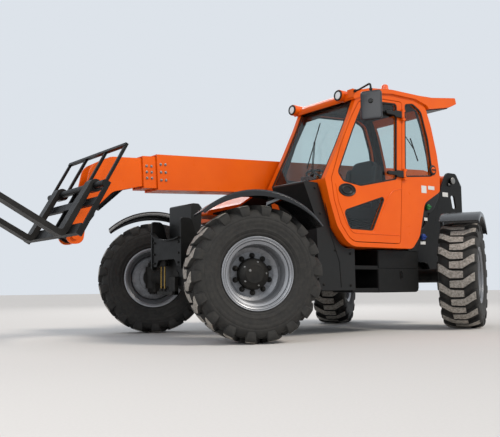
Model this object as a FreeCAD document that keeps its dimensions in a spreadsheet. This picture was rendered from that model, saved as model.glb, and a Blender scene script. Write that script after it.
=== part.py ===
import FreeCAD, Part
import math
import os

# Telehandler with a cab on the left, an engine pod on the right and a telescoping boom
# pivoted in two towers at the rear. Lengths are in millimetres, angles in degrees.
# While it is drawn, X runs forward from the middle of the wheelbase, Y to the left and
# Z up from the ground. BoxCentre then moves the machine so that its origin lies under
# the middle of its overall box.

os.makedirs("parts", exist_ok=True)
doc = FreeCAD.newDocument("Telehandler")
sheet = doc.addObject("Spreadsheet::Sheet", "Sizes")

# name, value
SIZES = (
    ("BoxCentre", 745),
    ("Wheelbase", 3100),
    ("Track", 2100),
    ("TyreDiameter", 1266),
    ("TyreWidth", 445),
    ("LugCount", 18),
    ("LugWidth", 92),
    ("LugHeight", 40),
    ("LugReach", 70),
    ("LugDrop", 85),
    ("RimRadius", 338),
    ("RimWidth", 390),
    ("BeadRadius", 308),
    ("HubRadius", 142),
    ("HubLength", 88),
    ("SpindleRadius", 60),
    ("KingpinOffset", 150),
    ("KnuckleRadius", 95),
    ("YokeGap", 250),
    ("AxleTube", 85),
    ("DiffRadius", 175),
    ("SteerFrontLeft", -22.1),
    ("SteerFrontRight", -26.7),
    ("SteerRearLeft", 28.4),
    ("SteerRearRight", 36.1),
    ("RunningClearance", 0.3),
    ("FrameHalfWidth", 300),
    ("FramePlate", 25),
    ("FrameBelly", 520),
    ("CabBottom", 920),
    ("CabInnerSide", 200),
    ("CabOuterSide", 1120),
    ("CabWall", 55),
    ("CabSkin", 35),
    ("RoofOverhang", 22),
    ("GlassThickness", 8),
    ("DoorGap", 8),
    ("PodInset", 50),
    ("PodOuterSide", 1110),
    ("PodFloor", 500),
    ("PodTop", 1290),
    ("FrontWheelRoom", 790),
    ("RearWheelRoom", 750),
    ("PodWall", 20),
    ("HoodSkin", 15),
    ("FenderGap", 127),
    ("FenderWidth", 450),
    ("FenderOverhang", 25),
    ("FenderSkin", 14),
    ("BoomPivotX", -2450),
    ("BoomPivotZ", 1950),
    ("BoomPinRadius", 45),
    ("BoomAngle", 3.3),
    ("BoomWidth", 280),
    ("BoomHeight", 360),
    ("BoomWall", 10),
    ("SectionGap", 10),
    ("BoomLength", 4560),
    ("SectionStep", 150),
    ("HeadPlate", 20),
    ("HeadReach", 736),
    ("HeadDrop", 638),
    ("CarriagePinRadius", 35),
    ("CarriageWidth", 1270),
    ("CarriageHeight", 560),
    ("CarriageTilt", 29),
    ("ForkLength", 1200),
    ("ForkWidth", 125),
    ("ForkThickness", 50),
    ("ForkSpacing", 760),
    ("LiftBarrelRadius", 75),
    ("LiftRodRadius", 42),
    ("TiltBarrelRadius", 50),
    ("TiltRodRadius", 28),
    ("EyeWidth", 70),
    ("PinRadius", 25),
)
for row, (name, value) in enumerate(SIZES, start=1):
    sheet.set("A%d" % row, name)
    sheet.set("B%d" % row, str(value))
    sheet.setAlias("B%d" % row, name)
doc.recompute()

S = {name: float(sheet.get(name)) for name, value in SIZES}
parts = []


def inset(rows, distance):
    """The same outline moved inward by a distance. Its corners are (u, v, corner radius)."""
    area = sum(rows[i - 1][0] * rows[i][1] - rows[i][0] * rows[i - 1][1] for i in range(len(rows)))
    side = 1.0 if area > 0 else -1.0
    moved = []
    for i, (u, v, r) in enumerate(rows):
        a = FreeCAD.Vector(*rows[i - 1][:2], 0)
        b = FreeCAD.Vector(u, v, 0)
        c = FreeCAD.Vector(*rows[(i + 1) % len(rows)][:2], 0)
        before = (b - a).normalize()
        after = (c - b).normalize()
        n1 = FreeCAD.Vector(-before.y * side, before.x * side, 0)
        n2 = FreeCAD.Vector(-after.y * side, after.x * side, 0)
        point = b + (n1 + n2) * (distance / (1.0 + n1.dot(n2)))
        moved.append((point.x, point.y, max(r - distance, 0.0)))
    return moved


def outline_edges(rows):
    """Lines and tangent arcs of a closed outline. Its corners are (u, v, corner radius)."""
    edges = []
    joints = []
    for i, (u, v, r) in enumerate(rows):
        a = FreeCAD.Vector(*rows[i - 1][:2], 0)
        b = FreeCAD.Vector(u, v, 0)
        c = FreeCAD.Vector(*rows[(i + 1) % len(rows)][:2], 0)
        back = (a - b)
        forth = (c - b)
        half = back.getAngle(forth) / 2.0
        if r <= 0.01 or half > math.radians(89.5):
            joints.append((b, b, None))
            continue
        reach = min(r / math.tan(half), 0.48 * back.Length, 0.48 * forth.Length)
        radius = reach * math.tan(half)
        start = b + back.normalize() * reach
        end = b + forth.normalize() * reach
        middle = (back + forth).normalize()
        top = b + middle * (radius / math.sin(half) - radius)
        joints.append((start, end, top))
    for i, (start, end, top) in enumerate(joints):
        if top is not None:
            edges.append(Part.Arc(start, top, end))
        following = joints[(i + 1) % len(joints)][0]
        if end.distanceToPoint(following) > 1e-6:
            edges.append(Part.LineSegment(end, following))
    return edges


def ring(u, v, radius):
    """A circle as an outline of four corners whose arcs meet."""
    return [(u - radius, v - radius, radius), (u + radius, v - radius, radius),
            (u + radius, v + radius, radius), (u - radius, v + radius, radius)]


def add_wire(sketch, rows):
    if len(rows) == 3 and not isinstance(rows[0], tuple):
        sketch.addGeometry(Part.Circle(FreeCAD.Vector(rows[0], rows[1], 0),
                                       FreeCAD.Vector(0, 0, 1), rows[2]), False)
    else:
        sketch.addGeometry(outline_edges(rows), False)


def origin_plane(body, role):
    return [f for f in body.Origin.OriginFeatures if f.Role == role][0]


def new_sketch(body, name, role, offset):
    sketch = body.newObject("Sketcher::SketchObject", name + "Sketch")
    sketch.AttachmentSupport = (origin_plane(body, role), [""])
    sketch.MapMode = "FlatFace"
    sketch.setExpression("AttachmentOffset.Base.z", str(offset))
    return sketch


def plate(name, role, outline, start, length, holes=()):
    """A plate with holes: an outline padded from an offset along its plane's normal.
    A hole is an outline, or a circle as [u, v, radius]."""
    body = doc.addObject("PartDesign::Body", name)
    sketch = new_sketch(body, name, role, start)
    add_wire(sketch, outline)
    for hole in holes:
        add_wire(sketch, hole)
    pad = body.newObject("PartDesign::Pad", name + "Pad")
    pad.Profile = sketch
    pad.setExpression("Length", str(length))
    body.Tip = pad
    return body


def side_plate(name, outline, left, width, holes=()):
    """A plate parallel to the machine's side. Its outline is in X and Z, its outer face
    lies at Y = left, and it reaches towards the right by its width."""
    return plate(name, "XZ_Plane", outline, "-(%s)" % left, width, holes)


def turned(name, outline):
    """A body turned about the Y axis. Its outline's corners are (radius, y)."""
    body = doc.addObject("PartDesign::Body", name)
    sketch = new_sketch(body, name, "XY_Plane", 0)
    add_wire(sketch, [(r, y, 0) for r, y in outline])
    turning = body.newObject("PartDesign::Revolution", name + "Revolution")
    turning.Profile = sketch
    turning.ReferenceAxis = (sketch, ["V_Axis"])
    turning.Angle = 360
    body.Tip = turning
    return body


def block(name, low, high):
    """A box between two corners, each given as three expressions."""
    item = doc.addObject("Part::Box", name)
    for axis, size, a, b in zip("xyz", ("Length", "Width", "Height"), low, high):
        item.setExpression(size, "(%s) - (%s)" % (b, a))
        item.setExpression("Placement.Base." + axis, str(a))
    return item


def placement(at, axis, angle):
    return FreeCAD.Placement(FreeCAD.Vector(*at), FreeCAD.Rotation(FreeCAD.Vector(*axis), angle))


def bar(name, size, middle, axis, angle):
    """A box about its middle, turned by an angle about an axis."""
    item = doc.addObject("Part::Box", name)
    item.Length, item.Width, item.Height = size
    corner = placement([-v / 2 for v in size], axis, 0)
    item.Placement = placement(middle, axis, angle).multiply(corner)
    return item


def rod(name, start, end, radius):
    """A cylinder from a start point to an end point. Its radius is an expression."""
    a = FreeCAD.Vector(*start)
    b = FreeCAD.Vector(*end)
    item = doc.addObject("Part::Cylinder", name)
    item.setExpression("Radius", str(radius))
    item.Height = (b - a).Length
    item.Placement = FreeCAD.Placement(a, FreeCAD.Rotation(FreeCAD.Vector(0, 0, 1), b - a))
    return item


def ball(name, at, radius):
    item = doc.addObject("Part::Sphere", name)
    item.Radius = radius
    item.Placement.Base = FreeCAD.Vector(*at)
    return item


def fuse(name, *pieces):
    item = doc.addObject("Part::MultiFuse", name)
    item.Shapes = list(pieces)
    item.Refine = True
    return item


def cut(name, base, *tools):
    item = doc.addObject("Part::Cut", name)
    item.Base = base
    item.Tool = tools[0] if len(tools) == 1 else fuse(name + "Tools", *tools)
    item.Refine = True
    return item


def common(name, base, tool):
    item = doc.addObject("Part::Common", name)
    item.Base = base
    item.Tool = tool
    return item


def group(name, *pieces):
    """Pieces of one node that don't touch each other."""
    item = doc.addObject("Part::Compound", name)
    item.Links = list(pieces)
    return item


def mirrored(name, base):
    """The same piece on the machine's other side."""
    item = doc.addObject("Part::Mirroring", name)
    item.Source = base
    item.Normal = FreeCAD.Vector(0, 1, 0)
    return item


def world(local, origin, angle):
    """A point of a tilted piece in the machine's X and Z. A positive angle drops the nose."""
    c = math.cos(math.radians(angle))
    s = math.sin(math.radians(angle))
    return (origin[0] + local[0] * c + local[1] * s, origin[1] - local[0] * s + local[1] * c)


def keep(item, label, at=(0, 0, 0), axis=(0, 0, 1), angle=0):
    """Make an object a sub-part: its label names its file and its placement sets it."""
    item.Label = label
    item.Placement = FreeCAD.Placement(FreeCAD.Vector(at[0] - S["BoxCentre"], at[1], at[2]),
                                       FreeCAD.Rotation(FreeCAD.Vector(*axis), angle))
    parts.append(item)
    return item


# Frame
half_base = S["Wheelbase"] / 2
tyre_radius = S["TyreDiameter"] / 2
pivot_x = S["BoomPivotX"]
pivot_z = S["BoomPivotZ"]
frame_in = S["FrameHalfWidth"] - S["FramePlate"]
belly = S["FrameBelly"]
cab_low = S["CabBottom"]
axle_clear = tyre_radius + 205

# Side plate: x, z, corner radius. It arches over both axles and rises to the boom tower.
frame_outline = [
    (half_base + 375, 1210, 25), (half_base + 375, 700, 20), (half_base + 325, 700, 20),
    (half_base + 290, axle_clear, 40), (half_base - 310, axle_clear, 60),
    (half_base - 430, belly, 70), (-half_base + 550, belly, 90),
    (-half_base + 330, axle_clear - 20, 60), (-half_base - 330, axle_clear - 20, 60),
    (-half_base - 450, belly + 60, 60), (pivot_x - 150, belly + 60, 80), (pivot_x - 230, 900, 80),
    (pivot_x - 230, pivot_z - 60, 40), (pivot_x - 110, pivot_z + 110, 60),
    (pivot_x + 90, pivot_z + 110, 90), (pivot_x + 230, pivot_z - 120, 120),
    (pivot_x + 420, 1240, 200), (-half_base + 450, 1060, 160), (-half_base + 640, cab_low, 60),
    (half_base - 740, cab_low, 60), (half_base - 560, 1010, 80), (half_base + 190, 1020, 60),
    (half_base + 250, 1210, 60)]
pin_hole = [pivot_x, pivot_z, S["BoomPinRadius"]]
lift_foot = (pivot_x + 300, 700)
foot_hole = [lift_foot[0], lift_foot[1], S["PinRadius"] + 10]
tower_slot = [(pivot_x - 60, pivot_z - 200, 30), (pivot_x + 25, pivot_z - 200, 30),
              (pivot_x - 15, pivot_z - 385, 30), (pivot_x - 100, pivot_z - 385, 30)]
frame_holes = [pin_hole, foot_hole, tower_slot]
left_plate = side_plate("FrameLeft", frame_outline, "Sizes.FrameHalfWidth", "Sizes.FramePlate", frame_holes)
right_plate = side_plate("FrameRight", frame_outline, "-Sizes.FrameHalfWidth + Sizes.FramePlate",
                         "Sizes.FramePlate", frame_holes)
keep(group("FrameSides", left_plate, right_plate), "frame_sides")

inner_low = "-Sizes.FrameHalfWidth + Sizes.FramePlate"
inner_high = "Sizes.FrameHalfWidth - Sizes.FramePlate"
# Cross plates: name, x from, x to, z from, z to
CROSS_PLATES = (
    ("FrontPivotAhead", half_base + 215, half_base + 250, belly + 10, 1000),
    ("FrontPivotBehind", half_base - 250, half_base - 215, belly + 10, 1000),
    ("BellyPlate", -half_base + 640, half_base - 500, belly, belly + 15),
    ("TowerPlate", pivot_x + 60, pivot_x + 85, 1000, 1480),
    ("CoverShelf", half_base + 60, half_base + 240, 1004, 1016),
)
cross = [block(n, (x0, inner_low, z0), (x1, inner_high, z1)) for n, x0, x1, z0, z1 in CROSS_PLATES]
# The front plate's top edge dips to the left and is turned forward as a lip
lip_line = [(-frame_in, 1090, 5), (-frame_in * 0.7, 1030, 60), (0, 1000, 300), (frame_in * 0.7, 1004, 100),
            (frame_in, 1020, 5)]
front_rows = lip_line + [
    (frame_in, 730, 20), (frame_in - 75, 730, 20), (frame_in - 110, 800, 50), (-frame_in + 110, 800, 50),
    (-frame_in + 75, 730, 20), (-frame_in, 730, 20)]
lip_rows = lip_line + [(y, z - 12, r) for y, z, r in reversed(lip_line)]
cross.append(fuse("FrontPlate", plate("FrontPlateFlat", "YZ_Plane", front_rows, half_base + 340, 25),
                  plate("FrontPlateLip", "YZ_Plane", lip_rows, half_base + 340, 60)))
axle_hole = rod("TrunnionHole", (half_base - 300, 0, tyre_radius), (half_base + 300, 0, tyre_radius), 60)
cross[0] = cut("FrontPivotAheadBored", cross[0], axle_hole)
cross[1] = cut("FrontPivotBehindBored", cross[1], axle_hole)
pin_reach = S["FrameHalfWidth"] + 30
boom_pin = rod("BoomPin", (pivot_x, pin_reach, pivot_z), (pivot_x, -pin_reach, pivot_z),
               "Sizes.BoomPinRadius")
lift_pin = rod("LiftFootPin", (lift_foot[0], pin_reach - 15, lift_foot[1]),
               (lift_foot[0], -pin_reach + 15, lift_foot[1]), "Sizes.PinRadius + 10")
keep(group("CrossPlates", *cross, boom_pin, lift_pin), "frame_crossplates")

weight_outline = [
    (pivot_x - 150, belly + 90, 60), (pivot_x - 20, belly + 90, 60), (pivot_x - 20, 1300, 30),
    (pivot_x - 200, 1300, 40), (pivot_x - 290, 1180, 60), (pivot_x - 290, 760, 120)]
weight = side_plate("Weight", weight_outline, inner_high, "2 * (%s)" % inner_high)
keep(weight, "rear_weight")

cover_outline = [
    (half_base + 90, 1016, 0), (half_base + 70, 1330, 30), (half_base + 110, 1372, 25),
    (half_base + 200, 1372, 25), (half_base + 200, 1016, 0)]
cover = side_plate("FrontCover", cover_outline, 215, 430)
keep(cover, "front_cover")

# Axles. The beam is turned about Y: radius, y. Yokes hold the kingpins.
kingpin = S["Track"] / 2 - S["KingpinOffset"]
yoke = S["YokeGap"] / 2
arm = 40
half_beam = [
    (0, kingpin - 105), (100, kingpin - 105), (S["AxleTube"], kingpin - 220), (S["AxleTube"], 320),
    (120, 250), (S["DiffRadius"], 150)]
beam_outline = half_beam + [(r, -y) for r, y in reversed(half_beam)]


def axle(name, pieces):
    items = [turned(name + "Beam", beam_outline)] + pieces
    for side, sign in (("Left", 1), ("Right", -1)):
        for end, z0, z1 in (("Top", yoke, yoke + arm), ("Bottom", -yoke - arm, -yoke)):
            reach = [(-70, -sign * 150 + sign * kingpin, 10), (70, -sign * 150 + sign * kingpin, 10),
                     (75, sign * (kingpin + 50), 60), (-75, sign * (kingpin + 50), 60)]
            items.append(plate(name + side + end, "XY_Plane", reach, z0, z1 - z0))
        web = block(name + side + "Web", (-70, sign * kingpin - 150 if sign > 0 else -kingpin + 105, -yoke),
                    (70, kingpin - 105 if sign > 0 else -kingpin + 150, yoke))
        items.append(web)
    return fuse(name, *items)


trunnion = rod("Trunnion", (-255, 0, 0), (255, 0, 0), 59.7)
keep(axle("FrontAxle", [trunnion]), "axle_front", (half_base, 0, tyre_radius))
pads = [block("AxlePad" + n, (-110, y0, 60), (110, y0 + 60, axle_clear - 20 - tyre_radius))
        for n, y0 in (("Left", S["FrameHalfWidth"] - 50), ("Right", -S["FrameHalfWidth"] - 10))]
keep(axle("RearAxle", pads), "axle_rear", (-half_base, 0, tyre_radius))

# Wheels, drawn round the kingpin of a left wheel. The wheel's own middle lies outboard.
wheel_y = S["KingpinOffset"]
half_rim = S["RimWidth"] / 2
bead = S["BeadRadius"]
knuckle_gap = S["RunningClearance"]
stub = wheel_y + 40
knuckle_body = plate("KnuckleBody", "XY_Plane", ring(0, 0, S["KnuckleRadius"]),
                     -yoke + knuckle_gap, 2 * (yoke - knuckle_gap))
spindle = rod("Spindle", (0, 0, 0), (0, stub, 0), "Sizes.SpindleRadius")
flange = rod("SpindleFlange", (0, 60, 0), (0, 92, 0), 118)
arm_seat = -130
boss = block("FenderBoss", (arm_seat, 0, -60), (-60, 50, 60))
knuckle_left = fuse("KnuckleLeft", knuckle_body, spindle, flange, boss)
knuckle_right = mirrored("KnuckleRight", knuckle_left)

# Rim section: radius, y from the wheel's middle
w = half_rim
lip = S["RimRadius"]
rim_rows = [
    (lip, w), (lip, w - 8), (bead + 4, w - 18), (bead - 2, w - 62), (bead - 34, w - 92),
    (bead - 34, -w + 92), (bead - 2, -w + 62), (bead + 4, -w + 18), (lip, -w + 8), (lip, -w),
    (lip - 16, -w), (bead - 8, -w + 14), (bead - 14, -w + 66), (bead - 46, -w + 96), (bead - 46, -14),
    (bead - 62, -22), (212, -26), (100, -26), (100, -8), (206, -8), (bead - 62, 8), (bead - 46, 30),
    (bead - 44, w - 60), (bead - 38, w - 34), (bead - 10, w - 24), (bead - 6, w - 10), (lip - 16, w)]
rim_disc = turned("RimDisc", [(r, y + wheel_y) for r, y in rim_rows])
bore = S["SpindleRadius"] + S["RunningClearance"]
hub_in = wheel_y - 52
hub_out = wheel_y + S["HubLength"]
hub_rows = [
    (bore, hub_in), (155, hub_in), (155, wheel_y - 26), (S["HubRadius"], wheel_y - 26),
    (S["HubRadius"], hub_out - 32), (S["HubRadius"] - 14, hub_out - 20), (96, hub_out - 8),
    (86, hub_out), (0, hub_out), (0, stub + 1), (bore, stub + 1)]
hub = turned("Hub", hub_rows)
rim_left = fuse("RimLeft", rim_disc, hub)
rim_right = mirrored("RimRight", rim_left)

# Tyre: a faceted carcass with two rows of lugs, half a pitch apart. A lug runs straight over the
# middle of the tread, bends back to the shoulder and ends on the sidewall. It stands on a flat.
tip = tyre_radius
side = S["TyreWidth"] / 2
pitch = 2 * math.pi / S["LugCount"]
half_lug = S["LugWidth"] / 2 / tip
lug_back = S["LugDrop"] / tip
lug_phase = lug_back - math.pi / 2
reach = S["LugReach"]
root = tip - S["LugHeight"]
top = tip / math.cos(half_lug)
in_gap = math.cos(pitch / 2 - half_lug)
# ring: y from the wheel's middle, radius, share of the lug's bend
TYRE_RINGS = {
    "end_root": (-reach, root, 1),
    "end_top": (-reach, top, 1),
    "bend_root": (reach, root, 1),
    "bend_top": (reach, top, 1),
    "shoulder_root": (side - 27, root - 28, 0),
    "shoulder_top": (side - 27, tip - 14, 0),
    "side_top": (side, tip - 46, 0),
    "side_root": (side - 1.5, tip - 105, 0),
    "lip": (w - 8.4, (lip + knuckle_gap) / in_gap, 0),
    "bead": (w - 18.4, (bead + 4 + 2 * knuckle_gap) / in_gap, 0),
}
# Strips that a lug's edges bound: over the lug, then beside it
LUG_STRIPS = (("end_top", "bend_top"), ("bend_top", "shoulder_top"), ("shoulder_top", "side_top"),
              ("side_top", "side_root"), ("side_root", "lip"), ("lip", "bead"))
GAP_STRIPS = (("shoulder_root", "side_root"), ("side_root", "lip"), ("lip", "bead"))
FLANKS = (("end_root", "end_top", "bend_root", "bend_top"),
          ("bend_root", "bend_top", "shoulder_root", "shoulder_top"),
          ("shoulder_root", "shoulder_top", "side_root", "side_top"))


def tyre_point(name, hand, number, edge):
    """A corner of the tyre: its ring, its side of the tread, the lug's number and the lug's edge."""
    y, radius, bend = TYRE_RINGS[name]
    turn = lug_phase + (number + (0 if hand > 0 else 0.5)) * pitch - bend * lug_back + edge * half_lug
    return FreeCAD.Vector(radius * math.cos(turn), wheel_y + hand * y, radius * math.sin(turn))


def facet(*corners):
    return Part.Face(Part.makePolygon(list(corners) + [corners[0]]))


def facets(a, b, c, d):
    """The face between the pairs a, b and c, d, in two halves where it isn't flat."""
    if abs((b - a).cross(c - a).dot(d - a)) < 1e-3:
        return [facet(a, b, d, c)]
    return [facet(a, b, d), facet(a, d, c)]


def tyre_faces(number, hand):
    """The faces of one lug and of the tread and sidewall up to the next lug on that side."""
    def at(name, edge, step=0):
        return tyre_point(name, hand, number + step, edge)

    faces = facets(at("end_root", -1), at("end_top", -1), at("end_root", 1), at("end_top", 1))
    for inner, outer in LUG_STRIPS:
        faces += facets(at(inner, -1), at(inner, 1), at(outer, -1), at(outer, 1))
    for inner, outer in GAP_STRIPS:
        faces += facets(at(inner, 1), at(inner, -1, 1), at(outer, 1), at(outer, -1, 1))
    for edge in (-1, 1):
        for a, b, c, d in FLANKS:
            faces += facets(at(a, edge), at(b, edge), at(c, edge), at(d, edge))
    # The tread floor meets the end of the other row's lug between this lug and the next
    facing = number if hand > 0 else number + 1
    near, far = (tyre_point("end_root", -hand, facing, edge) for edge in (-1, 1))
    near_bend = tyre_point("bend_root", -hand, facing, -1)
    faces += facets(at("end_root", 1), at("bend_root", 1), near_bend, near)
    corner = at("shoulder_root", 1)
    line = [at("bend_root", 1), near, far, at("bend_root", -1, 1), at("shoulder_root", -1, 1)]
    return faces + [facet(corner, p, q) for p, q in zip(line, line[1:])]


def bore_faces(number):
    """The tyre's bore over one pitch, between the beads of its two sides."""
    left = [tyre_point("bead", 1, number + step, edge) for step, edge in ((0, -1), (0, 1), (1, -1))]
    right = [tyre_point("bead", -1, number + step, edge) for step, edge in ((-1, 1), (0, -1), (0, 1))]
    return facets(left[0], left[1], right[0], right[1]) + facets(left[1], left[2], right[1], right[2])


tyre_shell = []
for number in range(int(S["LugCount"])):
    tyre_shell += tyre_faces(number, 1) + tyre_faces(number, -1) + bore_faces(number)
tyre_left = doc.addObject("Part::Feature", "TyreLeft")
tyre_left.Shape = Part.makeSolid(Part.makeShell(tyre_shell))
tyre_right = mirrored("TyreRight", tyre_left)

# Fenders turn with their wheels: an arched band whose outer lip is deepest at the top, on a
# bent arm from the knuckle. Angles run from the top to the front end and to the rear end.
fender_radius = tyre_radius + S["FenderGap"]
fender_out = wheel_y + S["FenderOverhang"] + S["FenderWidth"] / 2
fender_in = fender_out - S["FenderWidth"]
skin = S["FenderSkin"]
lip_depth = 60
arm_x = -245
arm_half = 17


def fender(name, front, rear):
    r = fender_radius
    rows = [(r, fender_in), (r, fender_out - 16), (r - 16, fender_out), (r - lip_depth, fender_out),
            (r - lip_depth, fender_out - skin), (r - skin - 8, fender_out - skin),
            (r - skin, fender_out - skin - 8), (r - skin, fender_in)]
    fall = lip_depth * 2
    lip_cut = rod(name + "LipCut", (0, fender_out - skin - 0.5, -fall), (0, fender_out + 5, -fall),
                  r - lip_depth + fall)
    band = cut(name + "Band", turned(name + "Ring", rows), lip_cut)
    far = 2 * r
    f, b = math.radians(front), math.radians(rear)
    sector = side_plate(name + "Sector", [
        (0, 0, 0), (far * math.sin(f), far * math.cos(f), 0), (far * math.sin(f), far, 0),
        (-far * math.sin(b), far, 0), (-far * math.sin(b), far * math.cos(b), 0)],
        fender_out + 1, S["FenderWidth"] + 2)
    post_out = wheel_y - S["TyreWidth"] / 2 - 28
    post_in = post_out - 2 * arm_half
    foot = plate(name + "Foot", "XY_Plane", [
        (arm_seat - knuckle_gap, -10, 0), (arm_seat - knuckle_gap, 50, 0), (arm_seat - 35, 50, 0),
        (arm_x - arm_half, post_out, 20), (arm_x - arm_half, post_in, 0), (arm_x + arm_half, post_in, 0),
        (arm_x + arm_half, post_out, 20), (arm_seat - 35, -10, 0)], -30, 60)
    top = math.sqrt((r - skin) ** 2 - (arm_x + arm_half) ** 2) + 0.7
    post = block(name + "Post", (arm_x - arm_half, post_in, -30), (arm_x + arm_half, post_out, top))
    arm_bar = block(name + "Arm", (arm_x - arm_half, post_in, top - 30),
                    (arm_x + arm_half, fender_out - 100, top))
    return fuse(name, common(name + "Arch", band, sector), foot, post, arm_bar)


fenders = {}
for end, front, rear in (("front", 43, 55), ("rear", 34.5, 45)):
    left = fender(end.title() + "Fender", front, rear)
    fenders[end, 1] = left
    fenders[end, -1] = mirrored(end.title() + "FenderRight", left)

# end, side, front or rear sign, side sign, steer angle
WHEELS = (
    ("front", "left", 1, 1, S["SteerFrontLeft"]),
    ("front", "right", 1, -1, S["SteerFrontRight"]),
    ("rear", "left", -1, 1, S["SteerRearLeft"]),
    ("rear", "right", -1, -1, S["SteerRearRight"]),
)
for end, side_name, ahead, hand, angle in WHEELS:
    forms = (knuckle_left, rim_left, tyre_left) if hand > 0 else (knuckle_right, rim_right, tyre_right)
    for kind, form in zip(("knuckle", "rim", "tyre", "fender"), forms + (fenders[end, hand],)):
        copy = doc.addObject("Part::Compound", kind.title() + end.title() + side_name.title())
        copy.Links = [form]
        keep(copy, "%s_%s_%s" % (kind, end, side_name), (ahead * half_base, hand * kingpin, tyre_radius),
             (0, 0, 1), angle)

# Cab. The side outline: x, z, corner radius.
cab_outline = [
    (735, 1600, 30), (668, 1370, 300), (575, 1120, 260), (400, 920, 260), (-590, 920, 110),
    (-720, 1060, 200), (-830, 1450, 120), (-1110, 1600, 50), (-1120, 1790, 200),
    (-1080, 2040, 600), (-985, 2370, 600), (-880, 2610, 160), (-700, 2650, 200), (-290, 2645, 600),
    (60, 2595, 400), (260, 2510, 80), (350, 2310, 500), (520, 1980, 900)]
door_outline = [
    (640, 1610, 60), (605, 1390, 160), (515, 1150, 200), (370, 975, 200), (-385, 975, 40),
    (-440, 1700, 60), (-478, 2570, 30), (-60, 2548, 200), (210, 2475, 90), (330, 2290, 200),
    (500, 1960, 500)]
door_window = [
    (555, 1680, 50), (475, 1590, 60), (215, 1560, 150), (-360, 1680, 40), (-400, 2545, 40),
    (-60, 2520, 200), (175, 2440, 90), (330, 2150, 300)]
door_low_window = [(480, 1290, 50), (395, 1100, 60), (45, 1095, 50), (-175, 1490, 30)]
quarter_window = [
    (-500, 1720, 40), (-530, 2560, 40), (-670, 2588, 100), (-820, 2520, 120), (-930, 2200, 400),
    (-1000, 1770, 50)]
right_window = [
    (540, 1700, 50), (-1000, 1700, 60), (-930, 2200, 400), (-820, 2510, 120), (-670, 2570, 100),
    (-60, 2530, 200), (175, 2440, 90), (350, 2130, 300)]
gap = S["DoorGap"]
door_opening = inset(door_outline, -gap)
left_side = side_plate("CabLeft", cab_outline, "Sizes.CabOuterSide", "Sizes.CabWall",
                       [door_opening, quarter_window])

# Door hinges: a pin between two lugs on the pillar, and a barrel on the door round the pin
hinge_x = -464
hinge_y = S["CabOuterSide"] + 20
hinge_zs = (1745, 2420)
hinge_pin = 9
hinge_barrel = 19
lugs = []
barrels = []
for i, z in enumerate(hinge_zs):
    lugs.append(rod("HingePin%d" % i, (hinge_x, hinge_y, z - 62), (hinge_x, hinge_y, z + 62), hinge_pin))
    for n, z0 in (("Low", z - 62), ("High", z + 37)):
        lugs.append(block("HingeLug%s%d" % (n, i), (hinge_x - 36, "Sizes.CabOuterSide + 6", z0),
                          (hinge_x + 10, hinge_y + 12, z0 + 25)))
        lugs.append(block("HingeFoot%s%d" % (n, i), (hinge_x - 36, "Sizes.CabOuterSide", z0),
                          (hinge_x - 20, hinge_y, z0 + 25)))
    barrels.append(rod("HingeBarrel%d" % i, (hinge_x, hinge_y, z - 36), (hinge_x, hinge_y, z + 36),
                       hinge_barrel))
    barrels.append(block("HingeLeaf%d" % i, (hinge_x, "Sizes.CabOuterSide", z - 36),
                         (hinge_x + 110, hinge_y + 6, z + 36)))
keep(fuse("CabLeftHinged", left_side, *lugs), "cab_side_left")
right_side = side_plate("CabRight", cab_outline, "Sizes.CabInnerSide + Sizes.CabWall", "Sizes.CabWall",
                        [right_window])
keep(right_side, "cab_side_right")

span_high = "Sizes.CabOuterSide - Sizes.CabWall"
span = "Sizes.CabOuterSide - Sizes.CabInnerSide - 2 * Sizes.CabWall"


def skin_piece(name, outline_rows, deep, zone, far):
    """A strip of the cab's skin: the ring between two insets of the outline, inside a zone."""
    strip = side_plate(name + "Ring", outline_rows, span_high, span, [inset(outline_rows, deep)])
    return common(name, strip, block(name + "Zone", zone, far))


far_left = "Sizes.CabOuterSide"
cab_in = "Sizes.CabInnerSide"
lower_front = [(450, cab_in, 940), (900, far_left, 1600)]
front_wall = skin_piece("CabFront", cab_outline, S["CabSkin"], *lower_front)
keep(front_wall, "cab_front")
floor_strip = skin_piece("CabFloorStrip", cab_outline, S["CabSkin"], (-1200, cab_in, 900),
                         (450, far_left, 1640))
keep(floor_strip, "cab_floor")
rear_strip = skin_piece("CabRearStrip", cab_outline, S["CabSkin"], (-1200, cab_in, 1640),
                        (-700, far_left, 2700))
rear_window = block("RearWindowCut", (-1300, "Sizes.CabInnerSide + 130", 1760),
                    (-800, "Sizes.CabOuterSide - 130", 2480))
keep(cut("CabRear", rear_strip, rear_window), "cab_rear")
glass_line = inset(cab_outline, 10)
front_glass = skin_piece("FrontGlass", glass_line, S["GlassThickness"], (100, cab_in, 1612),
                         (900, far_left, 2495))
keep(front_glass, "glass_front")
rear_glass = skin_piece("RearGlass", inset(cab_outline, 14), S["GlassThickness"],
                        (-1200, "Sizes.CabInnerSide + 130", 1760),
                        (-800, "Sizes.CabOuterSide - 130", 2480))
keep(rear_glass, "glass_rear")
quarter_glass = side_plate("QuarterGlass", quarter_window, "Sizes.CabOuterSide - 14",
                           "Sizes.GlassThickness")
keep(quarter_glass, "glass_quarter")
right_glass = side_plate("RightGlass", right_window, "Sizes.CabInnerSide + 26", "Sizes.GlassThickness")
keep(right_glass, "glass_right")

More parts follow.
